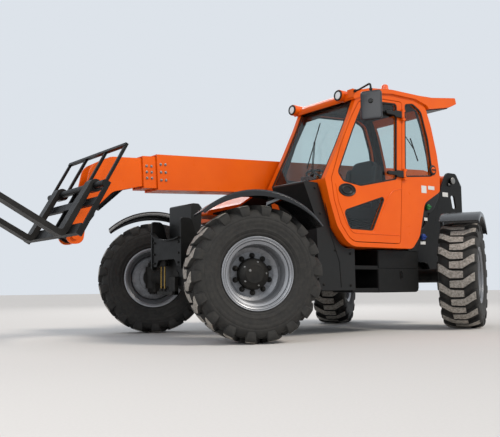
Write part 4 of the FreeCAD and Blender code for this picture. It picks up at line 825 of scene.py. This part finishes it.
def make_cab_mats():
    """Charcoal lining over the floor and the lower walls, and the rear pillars' trim."""
    inner, outer = CAB_INNER + LINING_DEPTH, CAB_OUTER - LINING_DEPTH
    bm = bmesh.new()
    add_sheet(bm, low_run(LINING_INSET, 1.68), inner + 0.006, outer, 0.005)
    add_prism(bm, low_run(LINING_INSET, 1.66), inner, inner + 0.005)
    link_piece("cab_mats", bm, "chassis", LINING)

    bm = bmesh.new()
    wall = sample_outline(inset_outline(in_metres(CAB_OUTLINE), LINING_INSET))
    wall = [p for p in wall if p.y > 1.70] + [Vector((0.668, 1.645)), Vector((-1.0757, 1.645))]
    add_holed_plate(bm, wall, sample_outline(inset_outline(in_metres(RIGHT_WINDOW), -0.037)), inner,
                    inner + 0.004)
    back = sorted((p for p in wall if p.x < -0.70), key=lambda p: p.y)
    for y0, y1 in ((inner + 0.006, CAB_INNER + 0.129), (CAB_OUTER - 0.129, outer)):
        add_sheet(bm, back[::-1], y0, y1, 0.004)
    link_piece("pillar_trim", bm, "chassis", LINING)


# Door hinges: their heights, and one strap's outline about its own: x, z, corner radius, in millimetres
HINGE_ZS = (1745, 2420)
HINGE_STRAP = (
    (-466, -36.8, 2), (-345, -36.8, 20), (-325, -21, 20), (-192, -19, 18), (-192, 19, 18),
    (-325, 21, 20), (-345, 36.8, 20), (-466, 36.8, 2))

# The sunk door handle with its raised inner ridge: share of the radius, y outward
HANDLE_DISH = (
    (1.0, SEAT_GAP), (1.0, 0.006), (0.95, 0.009), (0.88, 0.007), (0.82, 0.0015), (0.66, 0.001),
    (0.62, 0.008), (0.56, 0.0095), (0.50, 0.0075), (0.44, 0.0012), (0.0, 0.001))

# Pressed lines of the door, beside the lower pane and round the door's foot: (x, z) corners, bend
DOOR_PRESSINGS = (
    (((-0.43, 1.585), (-0.28, 1.545), (-0.205, 1.47), (0.03, 1.085), (0.06, 1.062)), 0.06),
    (((-0.385, 1.062), (0.06, 1.062), (0.355, 1.062), (0.44, 1.16), (0.545, 1.37), (0.585, 1.56)), 0.12))


def make_door_trim():
    """The sunk handle, the hinge straps and the pressed lines of the door."""
    bm = bmesh.new()
    add_dish(bm, row(0.42, CAB_OUTER, 1.505), 0.124, 0.068, HANDLE_DISH)
    for z in HINGE_ZS:
        strap = in_metres([(x, z + dz, r) for x, dz, r in HINGE_STRAP])
        add_prism(bm, sample_outline(strap), CAB_OUTER + 0.0004, CAB_OUTER + 0.0272)
    link_piece("door_fittings", bm, "door", BLACK_PLASTIC, 30, 0.004)

    bm = bmesh.new()
    for corners, bend in DOOR_PRESSINGS:
        add_tube(bm, smooth_line([row(x, CAB_OUTER + SEAT_GAP, z) for x, z in corners], 10, bend), 0.0055, 8)
    link_piece("door_pressings", bm, "door", ORANGE)


# Bare plates: x from, x to, z from, z to, y of what they sit on
BARE_PLATES = (
    (-0.865, -0.775, 1.565, 1.65, CAB_OUTER), (-1.01, -0.895, 1.612, 1.655, CAB_OUTER),
    (-2.37, -2.25, 1.72, 1.78, TOWER_Y), (-1.005, -0.945, 1.262, 1.30, REAR_PANEL_Y),
    (-0.955, -0.865, 0.985, 1.02, REAR_PANEL_Y))


def make_labels():
    """Bare plates where the cab and the tower carry labels, and the two fill caps."""
    bm = bmesh.new()
    for x0, x1, z0, z1, y in BARE_PLATES:
        add_box(bm, row(x0, y + 0.0002, z0), row(x1, y + 0.0012, z1))
    link_piece("bare_plates", bm, "chassis", WHITE_PLATE, 30, 0.0005)

    bm = bmesh.new()
    for n, (x, z, r) in enumerate(((-1.0, 1.425, 0.034), (-0.895, 1.07, 0.036))):
        at = row(x, REAR_PANEL_Y, z)
        add_disc_stack(bm, at, (0, 1, 0), [(r * 1.25, 0.0), (r * 1.25, 0.008)], 32, 2)
        add_disc_stack(bm, at, (0, 1, 0), [(r, 0.008), (r, 0.03), (r * 0.85, 0.036), (0, 0.036)], 24, n)
        add_box(bm, at + Vector((-r * 0.9, 0.035, -0.006)), at + Vector((r * 0.9, 0.048, 0.006)), n)
    link_piece("fill_caps", bm, "chassis", (CAP_GREEN, CAP_BLUE, BLACK_PLASTIC), 30, 0.002)


# The roof lamp's bezel and lens, and the beacon's collar: radius, distance along the axis
LAMP_BEZEL = ((0.0545, -0.012), (0.0575, -0.004), (0.0575, 0.004), (0.053, 0.009), (0.043, 0.007),
              (0.041, 0.001))
LAMP_DOME = ((0.041, 0.0008), (0.034, 0.004), (0.020, 0.0065), (0, 0.0072))
BEACON_COLLAR = ((0.0565, -0.02), (0.0575, -0.002), (0.0575, 0.006), (0.0485, 0.010))


def make_lamps():
    """Lens and black bezel of each roof lamp, and the beacon's collar."""
    bm = bmesh.new()
    for y in (CAB_OUTER - 0.15, CAB_INNER + 0.02):
        add_disc_stack(bm, row(0.376, y, 2.545), (1, 0, 0), LAMP_BEZEL, 48, 0)
        add_disc_stack(bm, row(0.376, y, 2.545), (1, 0, 0), LAMP_DOME, 40, 1)
    link_piece("lamp_glass", bm, "chassis", (BLACK_PLASTIC, LAMP_LENS))
    bm = bmesh.new()
    add_disc_stack(bm, row(-0.33, CAB_OUTER - 0.11, 2.696), (0, 0, 1), BEACON_COLLAR, 40, 0)
    link_piece("beacon_collar", bm, "chassis", BLACK_PLASTIC)


def make_mirror():
    """The mirror: a rounded dark shell on its bent arm, with the glass facing back."""
    x, y = 0.385, 1.45
    place = Matrix.Translation(row(x, y, 2.335)) @ Matrix.Rotation(math.radians(28), 4, "Z")
    bm = bmesh.new()
    half_width, half_height, round_corner = 0.110, 0.150, 0.034
    outline = sample_outline([(u * half_width, v * half_height, round_corner)
                              for u, v in ((1, 1), (-1, 1), (-1, -1), (1, -1))], 8)
    # Share of the outline and distance behind the glass: a crowned back
    crown = ((0.955, -0.0135), (1.0, -0.0105), (1.0, 0.002), (0.965, 0.0105), (0.86, 0.0135))
    rings = [[bm.verts.new(place @ Vector((back, p.x * share, p.y * share))) for p in outline]
             for share, back in crown]
    skin_rings(bm, rings, 0, True)
    foot = row(0.3, 1.142, 2.565)
    add_tube(bm, smooth_line([foot, foot + Vector((0, 0.06, 0)), row(x, y, 2.565), row(x, y, 2.40)]), 0.0105,
             12, 1)
    for at, axis in ((foot, (0, 1, 0)), (row(x, y, 2.49), (0, 0, 1))):
        add_disc_stack(bm, at, axis, [(0.014, 0.0), (0.017, 0.004), (0.017, 0.018), (0.013, 0.022)], 20, 1)
    add_disc_stack(bm, place @ Vector((0.0135, 0.0, 0.04)), place.to_3x3() @ Vector((1, 0, 0)),
                   [(0.024, 0), (0.024, 0.008), (0.016, 0.013)], 24, 1)
    shell = link_piece("mirror_shell", bm, "chassis", (MIRROR_SHELL, BLACK_PLASTIC), 30)
    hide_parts("mirror")
    bm = bmesh.new()
    add_box(bm, (-0.0150, -0.094, -0.134), (-0.0132, 0.094, 0.134))
    link_piece("mirror_glass", bm, "chassis", CHROME, 30, 0.0006, place)


def make_wiper():
    """A pantograph wiper parked on the windscreen."""
    bm = bmesh.new()
    foot = front_run(SCREEN_INSET, 1.60, 2.50)[0]
    base = row(foot.x + 0.02, 0.93, 1.66)
    tip = row(0.50, 0.74, 2.06)
    for shift in (0.0, 0.018):
        add_tube(bm, [base + Vector((0, shift, 0)), tip + Vector((0.022, shift, 0))], 0.0045, 8)
    add_disc_stack(bm, base, (0.9, 0, 0.4), [(0.018, -0.02), (0.018, 0.006), (0.012, 0.012)], 20)
    add_tube(bm, [tip + Vector((0.13, 0.0, -0.30)), tip + Vector((-0.075, 0.0, 0.22))], 0.006, 8)
    link_piece("wiper", bm, "chassis", BLACK_PLASTIC)


def make_quarter_trim():
    """The rear pane's round catch and the small wiper behind the seat."""
    bm = bmesh.new()
    at = row(-0.985, CAB_OUTER + SEAT_GAP, 1.845)
    add_disc_stack(bm, at, (0, 1, 0), [(0.058, 0), (0.058, 0.010), (0.050, 0.016), (0.036, 0.016)], 40, 0)
    add_disc_stack(bm, at, (0, 1, 0), [(0.036, 0.0163), (0.034, 0.020), (0, 0.021)], 32, 1)
    add_box(bm, row(-1.015, CAB_OUTER + 0.020, 1.838), row(-0.955, CAB_OUTER + 0.030, 1.852), 0)
    link_piece("pane_catch", bm, "chassis", (BLACK_PLASTIC, ORANGE))
    bm = bmesh.new()
    pivot = row(-0.935, 0.70, 2.42)
    add_disc_stack(bm, pivot, (1, 0, 0), [(0.02, -0.012), (0.02, 0.012), (0.014, 0.018)], 24)
    add_tube(bm, [pivot, row(-0.985, 0.86, 2.14)], 0.006, 8)
    add_tube(bm, [row(-0.965, 0.83, 2.27), row(-1.005, 0.90, 1.99)], 0.008, 8)
    link_piece("rear_wiper", bm, "chassis", BLACK_PLASTIC)


def add_cushion(bm, centre, half, tilt=0.0, blunt=0.38, sides=40, levels=20):
    """A crowned closed pad: a rounded block whose faces swell between its corners."""
    turn = Matrix.Rotation(math.radians(tilt), 3, "Y")

    def rounded(value):
        return math.copysign(abs(value) ** blunt, value)

    rings = []
    for n in range(levels + 1):
        rise = math.pi * (n / levels - 0.5)
        spread = rounded(math.cos(rise)) if 0 < n < levels else 0.0
        angles = [2 * math.pi * (k + 0.5) / sides for k in range(sides)] if spread else [0.0]
        rings.append([bm.verts.new(centre + turn @ Vector((
            half[0] * spread * rounded(math.cos(a)), half[1] * spread * rounded(math.sin(a)),
            half[2] * rounded(math.sin(rise))))) for a in angles])
    skin_rings(bm, rings)


def make_seat():
    """The driver's seat: padded cushions with bolsters, on a boxed base with a bellows."""
    bm = bmesh.new()
    add_cushion(bm, row(-0.055, CAB_MIDDLE, 1.300), (0.245, 0.185, 0.068))
    add_cushion(bm, row(-0.300, CAB_MIDDLE, 1.640), (0.058, 0.180, 0.305), -10.0)
    for side in (-1, 1):
        add_cushion(bm, row(-0.045, CAB_MIDDLE + side * 0.202, 1.305), (0.238, 0.038, 0.072), 0, 0.5)
        add_cushion(bm, row(-0.285, CAB_MIDDLE + side * 0.200, 1.610), (0.066, 0.040, 0.265), -10.0, 0.5)
    cushions = link_piece("seat_cushions", bm, "chassis", VINYL, 50)
    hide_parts("seat")

    # Blocks of the base: x from, x to, half width, z from, z to
    blocks = [(-0.325, 0.135, 0.235, 0.963, 1.03), (-0.31, 0.12, 0.22, 1.212, 1.232)]
    for n in range(5):
        z = 1.032 + 0.036 * n
        blocks.append((-0.29, 0.10, 0.20, z, z + 0.028))
    bm = bmesh.new()
    for x0, x1, half, z0, z1 in blocks:
        add_box(bm, row(x0, CAB_MIDDLE - half, z0), row(x1, CAB_MIDDLE + half, z1))
    for rest_y in (CAB_MIDDLE - 0.263, CAB_MIDDLE + 0.263):
        add_box(bm, row(-0.24, rest_y - 0.028, 1.485), row(0.10, rest_y + 0.028, 1.53))
    link_piece("seat_base", bm, "chassis", BLACK_PLASTIC, 30, 0.008)


def make_controls():
    """The hand control beside the seat, the display, stalks and the wheel's hub."""
    bm = bmesh.new()
    y = 0.325
    add_box(bm, row(-0.20, y - 0.05, 0.97), row(0.26, y + 0.05, 1.42))
    add_box(bm, row(-0.22, y - 0.055, 1.42), row(0.28, y + 0.06, 1.45))
    add_tube(bm, smooth_line([row(0.17, y, 1.45), row(0.175, y, 1.55), row(0.20, y, 1.62)], 6, 0.04), 0.016, 14)
    add_disc_stack(bm, row(0.17, y, 1.452), (0, 0, 1),
                   [(0.045, 0), (0.036, 0.016), (0.030, 0.018), (0.028, 0.034), (0.018, 0.04)], 28)
    link_piece("hand_control", bm, "chassis", BLACK_PLASTIC, 30, 0.006)

    bm = bmesh.new()
    rake = math.radians(-20)
    axis = Vector((math.sin(rake), 0, math.cos(rake)))
    hub = row(0.33, CAB_MIDDLE, 1.70)
    add_disc_stack(bm, hub + axis * 0.004, axis, [(0.052, 0), (0.052, 0.010), (0.040, 0.020), (0, 0.024)], 36)
    collar = hub - axis * 0.05
    for side in (-1, 1):
        add_tube(bm, [collar, collar + Vector((0.03, side * 0.13, 0.02))], 0.007, 10)
    link_piece("column_stalks", bm, "chassis", BLACK_PLASTIC)

    bm = bmesh.new()
    add_box(bm, row(0.53, CAB_MIDDLE - 0.11, 1.568), row(0.555, CAB_MIDDLE + 0.11, 1.70))
    link_piece("display", bm, "chassis", TINT_BAND, 30, 0.006)


# Fittings outside the cab

def make_tower_pins():
    """Heads and keeper plates of the boom's pivot pin and of the lift cylinder's pin."""
    bm = bmesh.new()
    # x, z, head's radius, how far the head stands out from the tower
    for x, z, r, out in ((*BOOM_PIVOT, 0.045, 0.03), (-2.15, 0.70, 0.035, 0.015)):
        for sign in (1, -1):
            head = [(r * 1.02, 0.0), (r * 1.02, 0.006), (r * 0.86, 0.010), (0, 0.010)]
            add_disc_stack(bm, row(x, sign * (TOWER_Y + out), z), (0, sign, 0), head, 32, 1)
            low, high = sorted((sign * (TOWER_Y + 0.0005), sign * (TOWER_Y + 0.012)))
            add_box(bm, row(x + 0.01, low, z - 0.075), row(x + 0.085, high, z - 0.035), 0)
            add_bolt(bm, row(x + 0.066, sign * (TOWER_Y + 0.012), z - 0.055), (0, sign, 0), 0.019, 0.012, 1)
    link_piece("pin_keepers", bm, "chassis", (BLACK_STEEL, ZINC), 30, 0.0015)


# Cap screws of the panels before and behind the cab: x, z
FRONT_PANEL_SCREWS = ((0.315, 0.52), (0.315, 0.85), (0.70, 0.53), (0.735, 1.25), (0.80, 1.505), (0.53, 0.88))
REAR_PANEL_SCREWS = ((-0.70, 0.93), (-0.88, 1.33), (-0.80, 1.20), (-1.08, 1.545))


def make_side_hardware():
    """The side box's two lids and latch, the front panel's fold, the panels' screws and step gratings."""
    bm = bmesh.new()
    face = SIDE_BOX_Y + 0.0004
    for low, high, proud in ((0.706, 0.896, 0.007), (0.452, 0.698, 0.0045)):
        lid = [(x, z, 0.012) for x, z in ((-0.805, low), (-0.148, low), (-0.148, high), (-0.805, high))]
        add_prism(bm, sample_outline(lid), face, face + proud)
    add_box(bm, row(-0.540, face + 0.004, 0.585), row(-0.500, face + 0.009, 0.690))
    grip = [row(-0.520, face + out, z)
            for out, z in ((0.006, 0.600), (0.024, 0.610), (0.024, 0.665), (0.006, 0.675))]
    add_tube(bm, smooth_line(grip, 5, 0.01), 0.006, 10)
    fold = [row(x, FRONT_PANEL_Y - 0.0005, z) for x, z in (
        (0.70, 1.54), (0.66, 1.36), (0.585, 1.03), (0.475, 0.76), (0.455, 0.50))]
    add_tube(bm, smooth_line(fold, 8, 0.15), 0.005, 8)
    link_piece("box_lids", bm, "chassis", BLACK_STEEL, 30, 0.0015)

    bm = bmesh.new()
    for x, z in FRONT_PANEL_SCREWS:
        add_bolt(bm, row(x, FRONT_PANEL_Y + 0.0002, z), (0, 1, 0), 0.019, 0.011)
    for x, z in REAR_PANEL_SCREWS:
        add_bolt(bm, row(x, REAR_PANEL_Y + 0.0002, z), (0, 1, 0), 0.017, 0.010)
    link_piece("panel_screws", bm, "chassis", CASTING, 30)

    bm = bmesh.new()
    for z in (0.4852, 0.7252):
        for i in range(9):
            x = -0.125 + 0.0445 * i
            add_box(bm, row(x, 0.70, z), row(x + 0.006, 0.955, z + 0.008))
        for y in (0.72, 0.83, 0.94):
            add_box(bm, row(-0.125, y, z), row(0.238, y + 0.006, z + 0.007))
    link_piece("step_grating", bm, "chassis", BLACK_STEEL, 30)


def make_front_hardware():
    """The bolts that hold the front plate to the frame's ends."""
    bm = bmesh.new()
    for y, z in ((-0.24, 0.86), (-0.24, 0.98), (0.24, 0.86), (0.24, 0.97), (-0.235, 0.765), (0.235, 0.765)):
        add_bolt(bm, row(FRONT_PLATE_X + 0.0002, y, z), (1, 0, 0), 0.019, 0.011)
    link_piece("front_bolts", bm, "chassis", CASTING, 30)


# Mouths of the boom's sections: name, body, x of the mouth along the boom, half width, bottom, top
BOOM_MOUTHS = (("outer", "boom", 4.56, 0.14, -0.20, 0.16), ("mid", "boom_mid", 4.71, 0.12, -0.18, 0.14))


def make_boom_hardware():
    """Bolts that hold the wear pads at each section's mouth."""
    pivot_x, pivot_z = BOOM_PIVOT
    place = Matrix.Translation(row(pivot_x, 0, pivot_z)) @ Matrix.Rotation(math.radians(BOOM_ANGLE), 4, "Y")
    for name, body, mouth, half, low, high in BOOM_MOUTHS:
        bm = bmesh.new()
        for x in (mouth - 0.095, mouth - 0.04):
            for side in (-1, 1):
                for z in (low + 0.10, (low + high) / 2, high - 0.10):
                    add_bolt(bm, (x, side * (half + 0.0002), z), (0, side, 0), 0.018, 0.010)
            for y in (-0.07, 0.07) if name == "outer" else ():
                add_bolt(bm, (x, y, high + 0.0002), (0, 0, 1), 0.018, 0.010)
        link_piece("pad_bolts_" + name, bm, body, ZINC, 30, 0, place)


# A tail lamp's frame and its two lenses: half width, z from, z to, depth from, depth to, finish
TAIL_LAMP = ((0.062, 1.02, 1.12, 0.0, 0.010, 0), (0.056, 1.073, 1.114, 0.0102, 0.015, 1),
             (0.056, 1.026, 1.067, 0.0102, 0.015, 2))


def make_rear_hardware():
    """Tail lamps on the rear weight, each red over amber in a black frame."""
    bm = bmesh.new()
    for y in (-0.195, 0.195):
        for half, z0, z1, seat, out, finish in TAIL_LAMP:
            add_box(bm, row(REAR_FACE_X - out, y - half, z0), row(REAR_FACE_X - seat, y + half, z1), finish)
    link_piece("tail_lamps", bm, "chassis", (BLACK_PLASTIC, RED_LENS, AMBER_LENS), 30, 0.003)


def make_axle_hardware():
    """Kingpin caps with their screws, and the bolts round the differential's flanges."""
    for end, x in (("front", HALF_BASE), ("rear", -HALF_BASE)):
        bm = bmesh.new()
        for side in (-1, 1):
            for up in (-1, 1):
                at = row(x, side * KINGPIN_Y, TYRE_RADIUS + up * 0.1652)
                add_disc_stack(bm, at, (0, 0, up), [(0.052, 0), (0.052, 0.014), (0.044, 0.020), (0, 0.020)], 40)
                for u, v in on_circle(0.036, 4, math.pi / 4):
                    add_bolt(bm, at + Vector((u, v, up * 0.0185)), (0, 0, up), 0.013, 0.007)
            for u, v in on_circle(0.160, 12):
                add_bolt(bm, row(x + u, side * 0.152, TYRE_RADIUS + v), (0, side, 0), 0.015, 0.009)
        link_piece("kingpin_caps_" + end, bm, "chassis", CASTING, 30)


# Side outlines: x, z, corner radius
TOWER_GUSSET = (
    (-2.30, 1.72, 0.02), (-2.22, 1.80, 0.03), (-2.16, 1.735, 0.08), (-2.04, 1.61, 0.1), (-1.93, 1.42, 0.12),
    (-1.84, 1.27, 0.16), (-1.50, 1.14, 0.2), (-1.12, 1.07, 0.05), (-1.20, 1.03, 0.02), (-2.10, 1.03, 0.02))
REAR_PANEL_EDGE = (
    (-1.12, 1.570, 0.01), (-1.235, 1.605, 0.02), (-1.245, 1.575, 0.02), (-1.135, 1.41, 0.1),
    (-1.07, 1.362, 0.05), (-0.985, 1.35, 0.02), (-0.96, 1.38, 0.01))


def make_tower_gussets():
    """The towers' broad feet in front, and the wider edge of the panel behind the cab."""
    bm = bmesh.new()
    for y0, y1 in ((0.2755, 0.2995), (-0.2995, -0.2755)):
        add_prism(bm, sample_outline(TOWER_GUSSET), y0, y1)
    link_piece("tower_gussets", bm, "chassis", BLACK_STEEL, 30, 0.003)
    bm = bmesh.new()
    add_prism(bm, sample_outline(REAR_PANEL_EDGE), 0.70, REAR_PANEL_Y - 0.0015)
    link_piece("rear_panel_edge", bm, "chassis", BLACK_PLASTIC, 30, 0.004)


def make_pod_hardware():
    """The cover plate bolted to the engine pod's side."""
    bm = bmesh.new()
    y = POD_Y - SEAT_GAP
    rows = [(x, z, 0.05) for x, z in ((-0.70, 0.62), (0.66, 0.62), (0.66, 1.22), (-0.70, 1.22))]
    add_band(bm, sample_outline(rows), sample_outline(inset_outline(rows, 0.012)), y - 0.004, y)
    for x in (-0.64, -0.20, 0.20, 0.60):
        for z in (0.68, 1.16):
            add_bolt(bm, row(x, y, z), (0, -1, 0), 0.019, 0.011)
    link_piece("pod_cover_bolts", bm, "chassis", BLACK_STEEL, 30)


def make_hood_hardware():
    """The hood's latches, its handle, and the black screen on the side that faces the boom."""
    y = POD_Y - SEAT_GAP
    bm = bmesh.new()
    for x in (-0.42, 0.30):
        at = row(x, y, 1.345)
        add_box(bm, at + Vector((-0.045, -0.012, -0.03)), at + Vector((0.045, 0.0, 0.03)))
        add_box(bm, at + Vector((-0.018, -0.022, -0.02)), at + Vector((0.018, -0.012, 0.022)))
    link_piece("hood_latches", bm, "hood", BLACK_PLASTIC, 30, 0.004)

    bm = bmesh.new()
    front, back = HALF_BASE - 0.79, -HALF_BASE + 0.75
    rows = ((HALF_BASE - 0.39, 1.345, 0.01), (front - 0.03, 1.452, 0.25), (front - 0.40, 1.682, 0.3),
            (back + 0.12, 1.720, 0.2), (back + 0.035, 1.59, 0.1), (back + 0.035, 1.325, 0.01),
            (front + 0.03, 1.325, 0.01))
    add_prism(bm, sample_outline(rows), -0.3497, -0.3475)
    link_piece("hood_screen", bm, "hood", BLACK_STEEL)

    bm = bmesh.new()
    grip = [row(x, y - out, 1.46) for x, out in ((0.10, 0.0), (0.10, 0.0397), (0.28, 0.0397), (0.28, 0.0))]
    add_tube(bm, smooth_line(grip, 6, 0.02), 0.008, 12)
    link_piece("hood_handle", bm, "hood", BLACK_PLASTIC)


def make_sway_cylinder():
    """The axle's levelling cylinders under the front plate: two barrels over plated rods."""
    bm = bmesh.new()
    x, low, high = 1.85, 0.505, 0.735
    for y in (-0.21, -0.14):
        barrel = [(0.026, 0), (0.030, 0.004), (0.030, 0.20), (0.024, 0.21)]
        add_disc_stack(bm, row(x, y, high), (0, 0, 1), barrel, 28)
        add_tube(bm, [row(x, y, low), row(x, y, high + 0.003)], 0.0085, 16, 1)
        add_disc_stack(bm, row(x, y, low - 0.028), (0, 0, 1), [(0.020, 0), (0.020, 0.03)], 20)
    # The axle's bracket: a shelf under the rods, and a post
    face = 1.8055
    add_box(bm, row(face, -0.245, low - 0.065), row(1.88, 0.06, low - 0.028))
    add_box(bm, row(face, -0.06, low - 0.065), row(1.850, 0.06, 0.625))
    link_piece("sway_cylinder", bm, "chassis", (CASTING, YELLOW_ZINC), 30, 0.002)


for make in (make_wheels, make_glazing, make_cab_lining, make_door_trim, make_labels, make_lamps, make_mirror,
             make_tower_pins, make_wiper, make_cab_mats, make_seat, make_controls, make_side_hardware,
             make_front_hardware, make_boom_hardware, make_rear_hardware, make_axle_hardware,
             make_tower_gussets, make_quarter_trim, make_pod_hardware, make_hood_hardware,
             make_sway_cylinder):
    make()

set_camera()
set_floor()
set_world()
sun_light("key", (-4.0, 9.0, 9.0), 2.1, 0.3, "#FFF6EA")
area_light("front_fill", (9.0, 5.0, 5.0), (0, 0, 1.0), 6.0, 330)
area_light("rear_rim", (-6.0, -8.0, 7.0), (0, 0, 1.0), 6.0, 300, glint=0.25)
bpy.context.scene.view_settings.view_transform = "Standard"
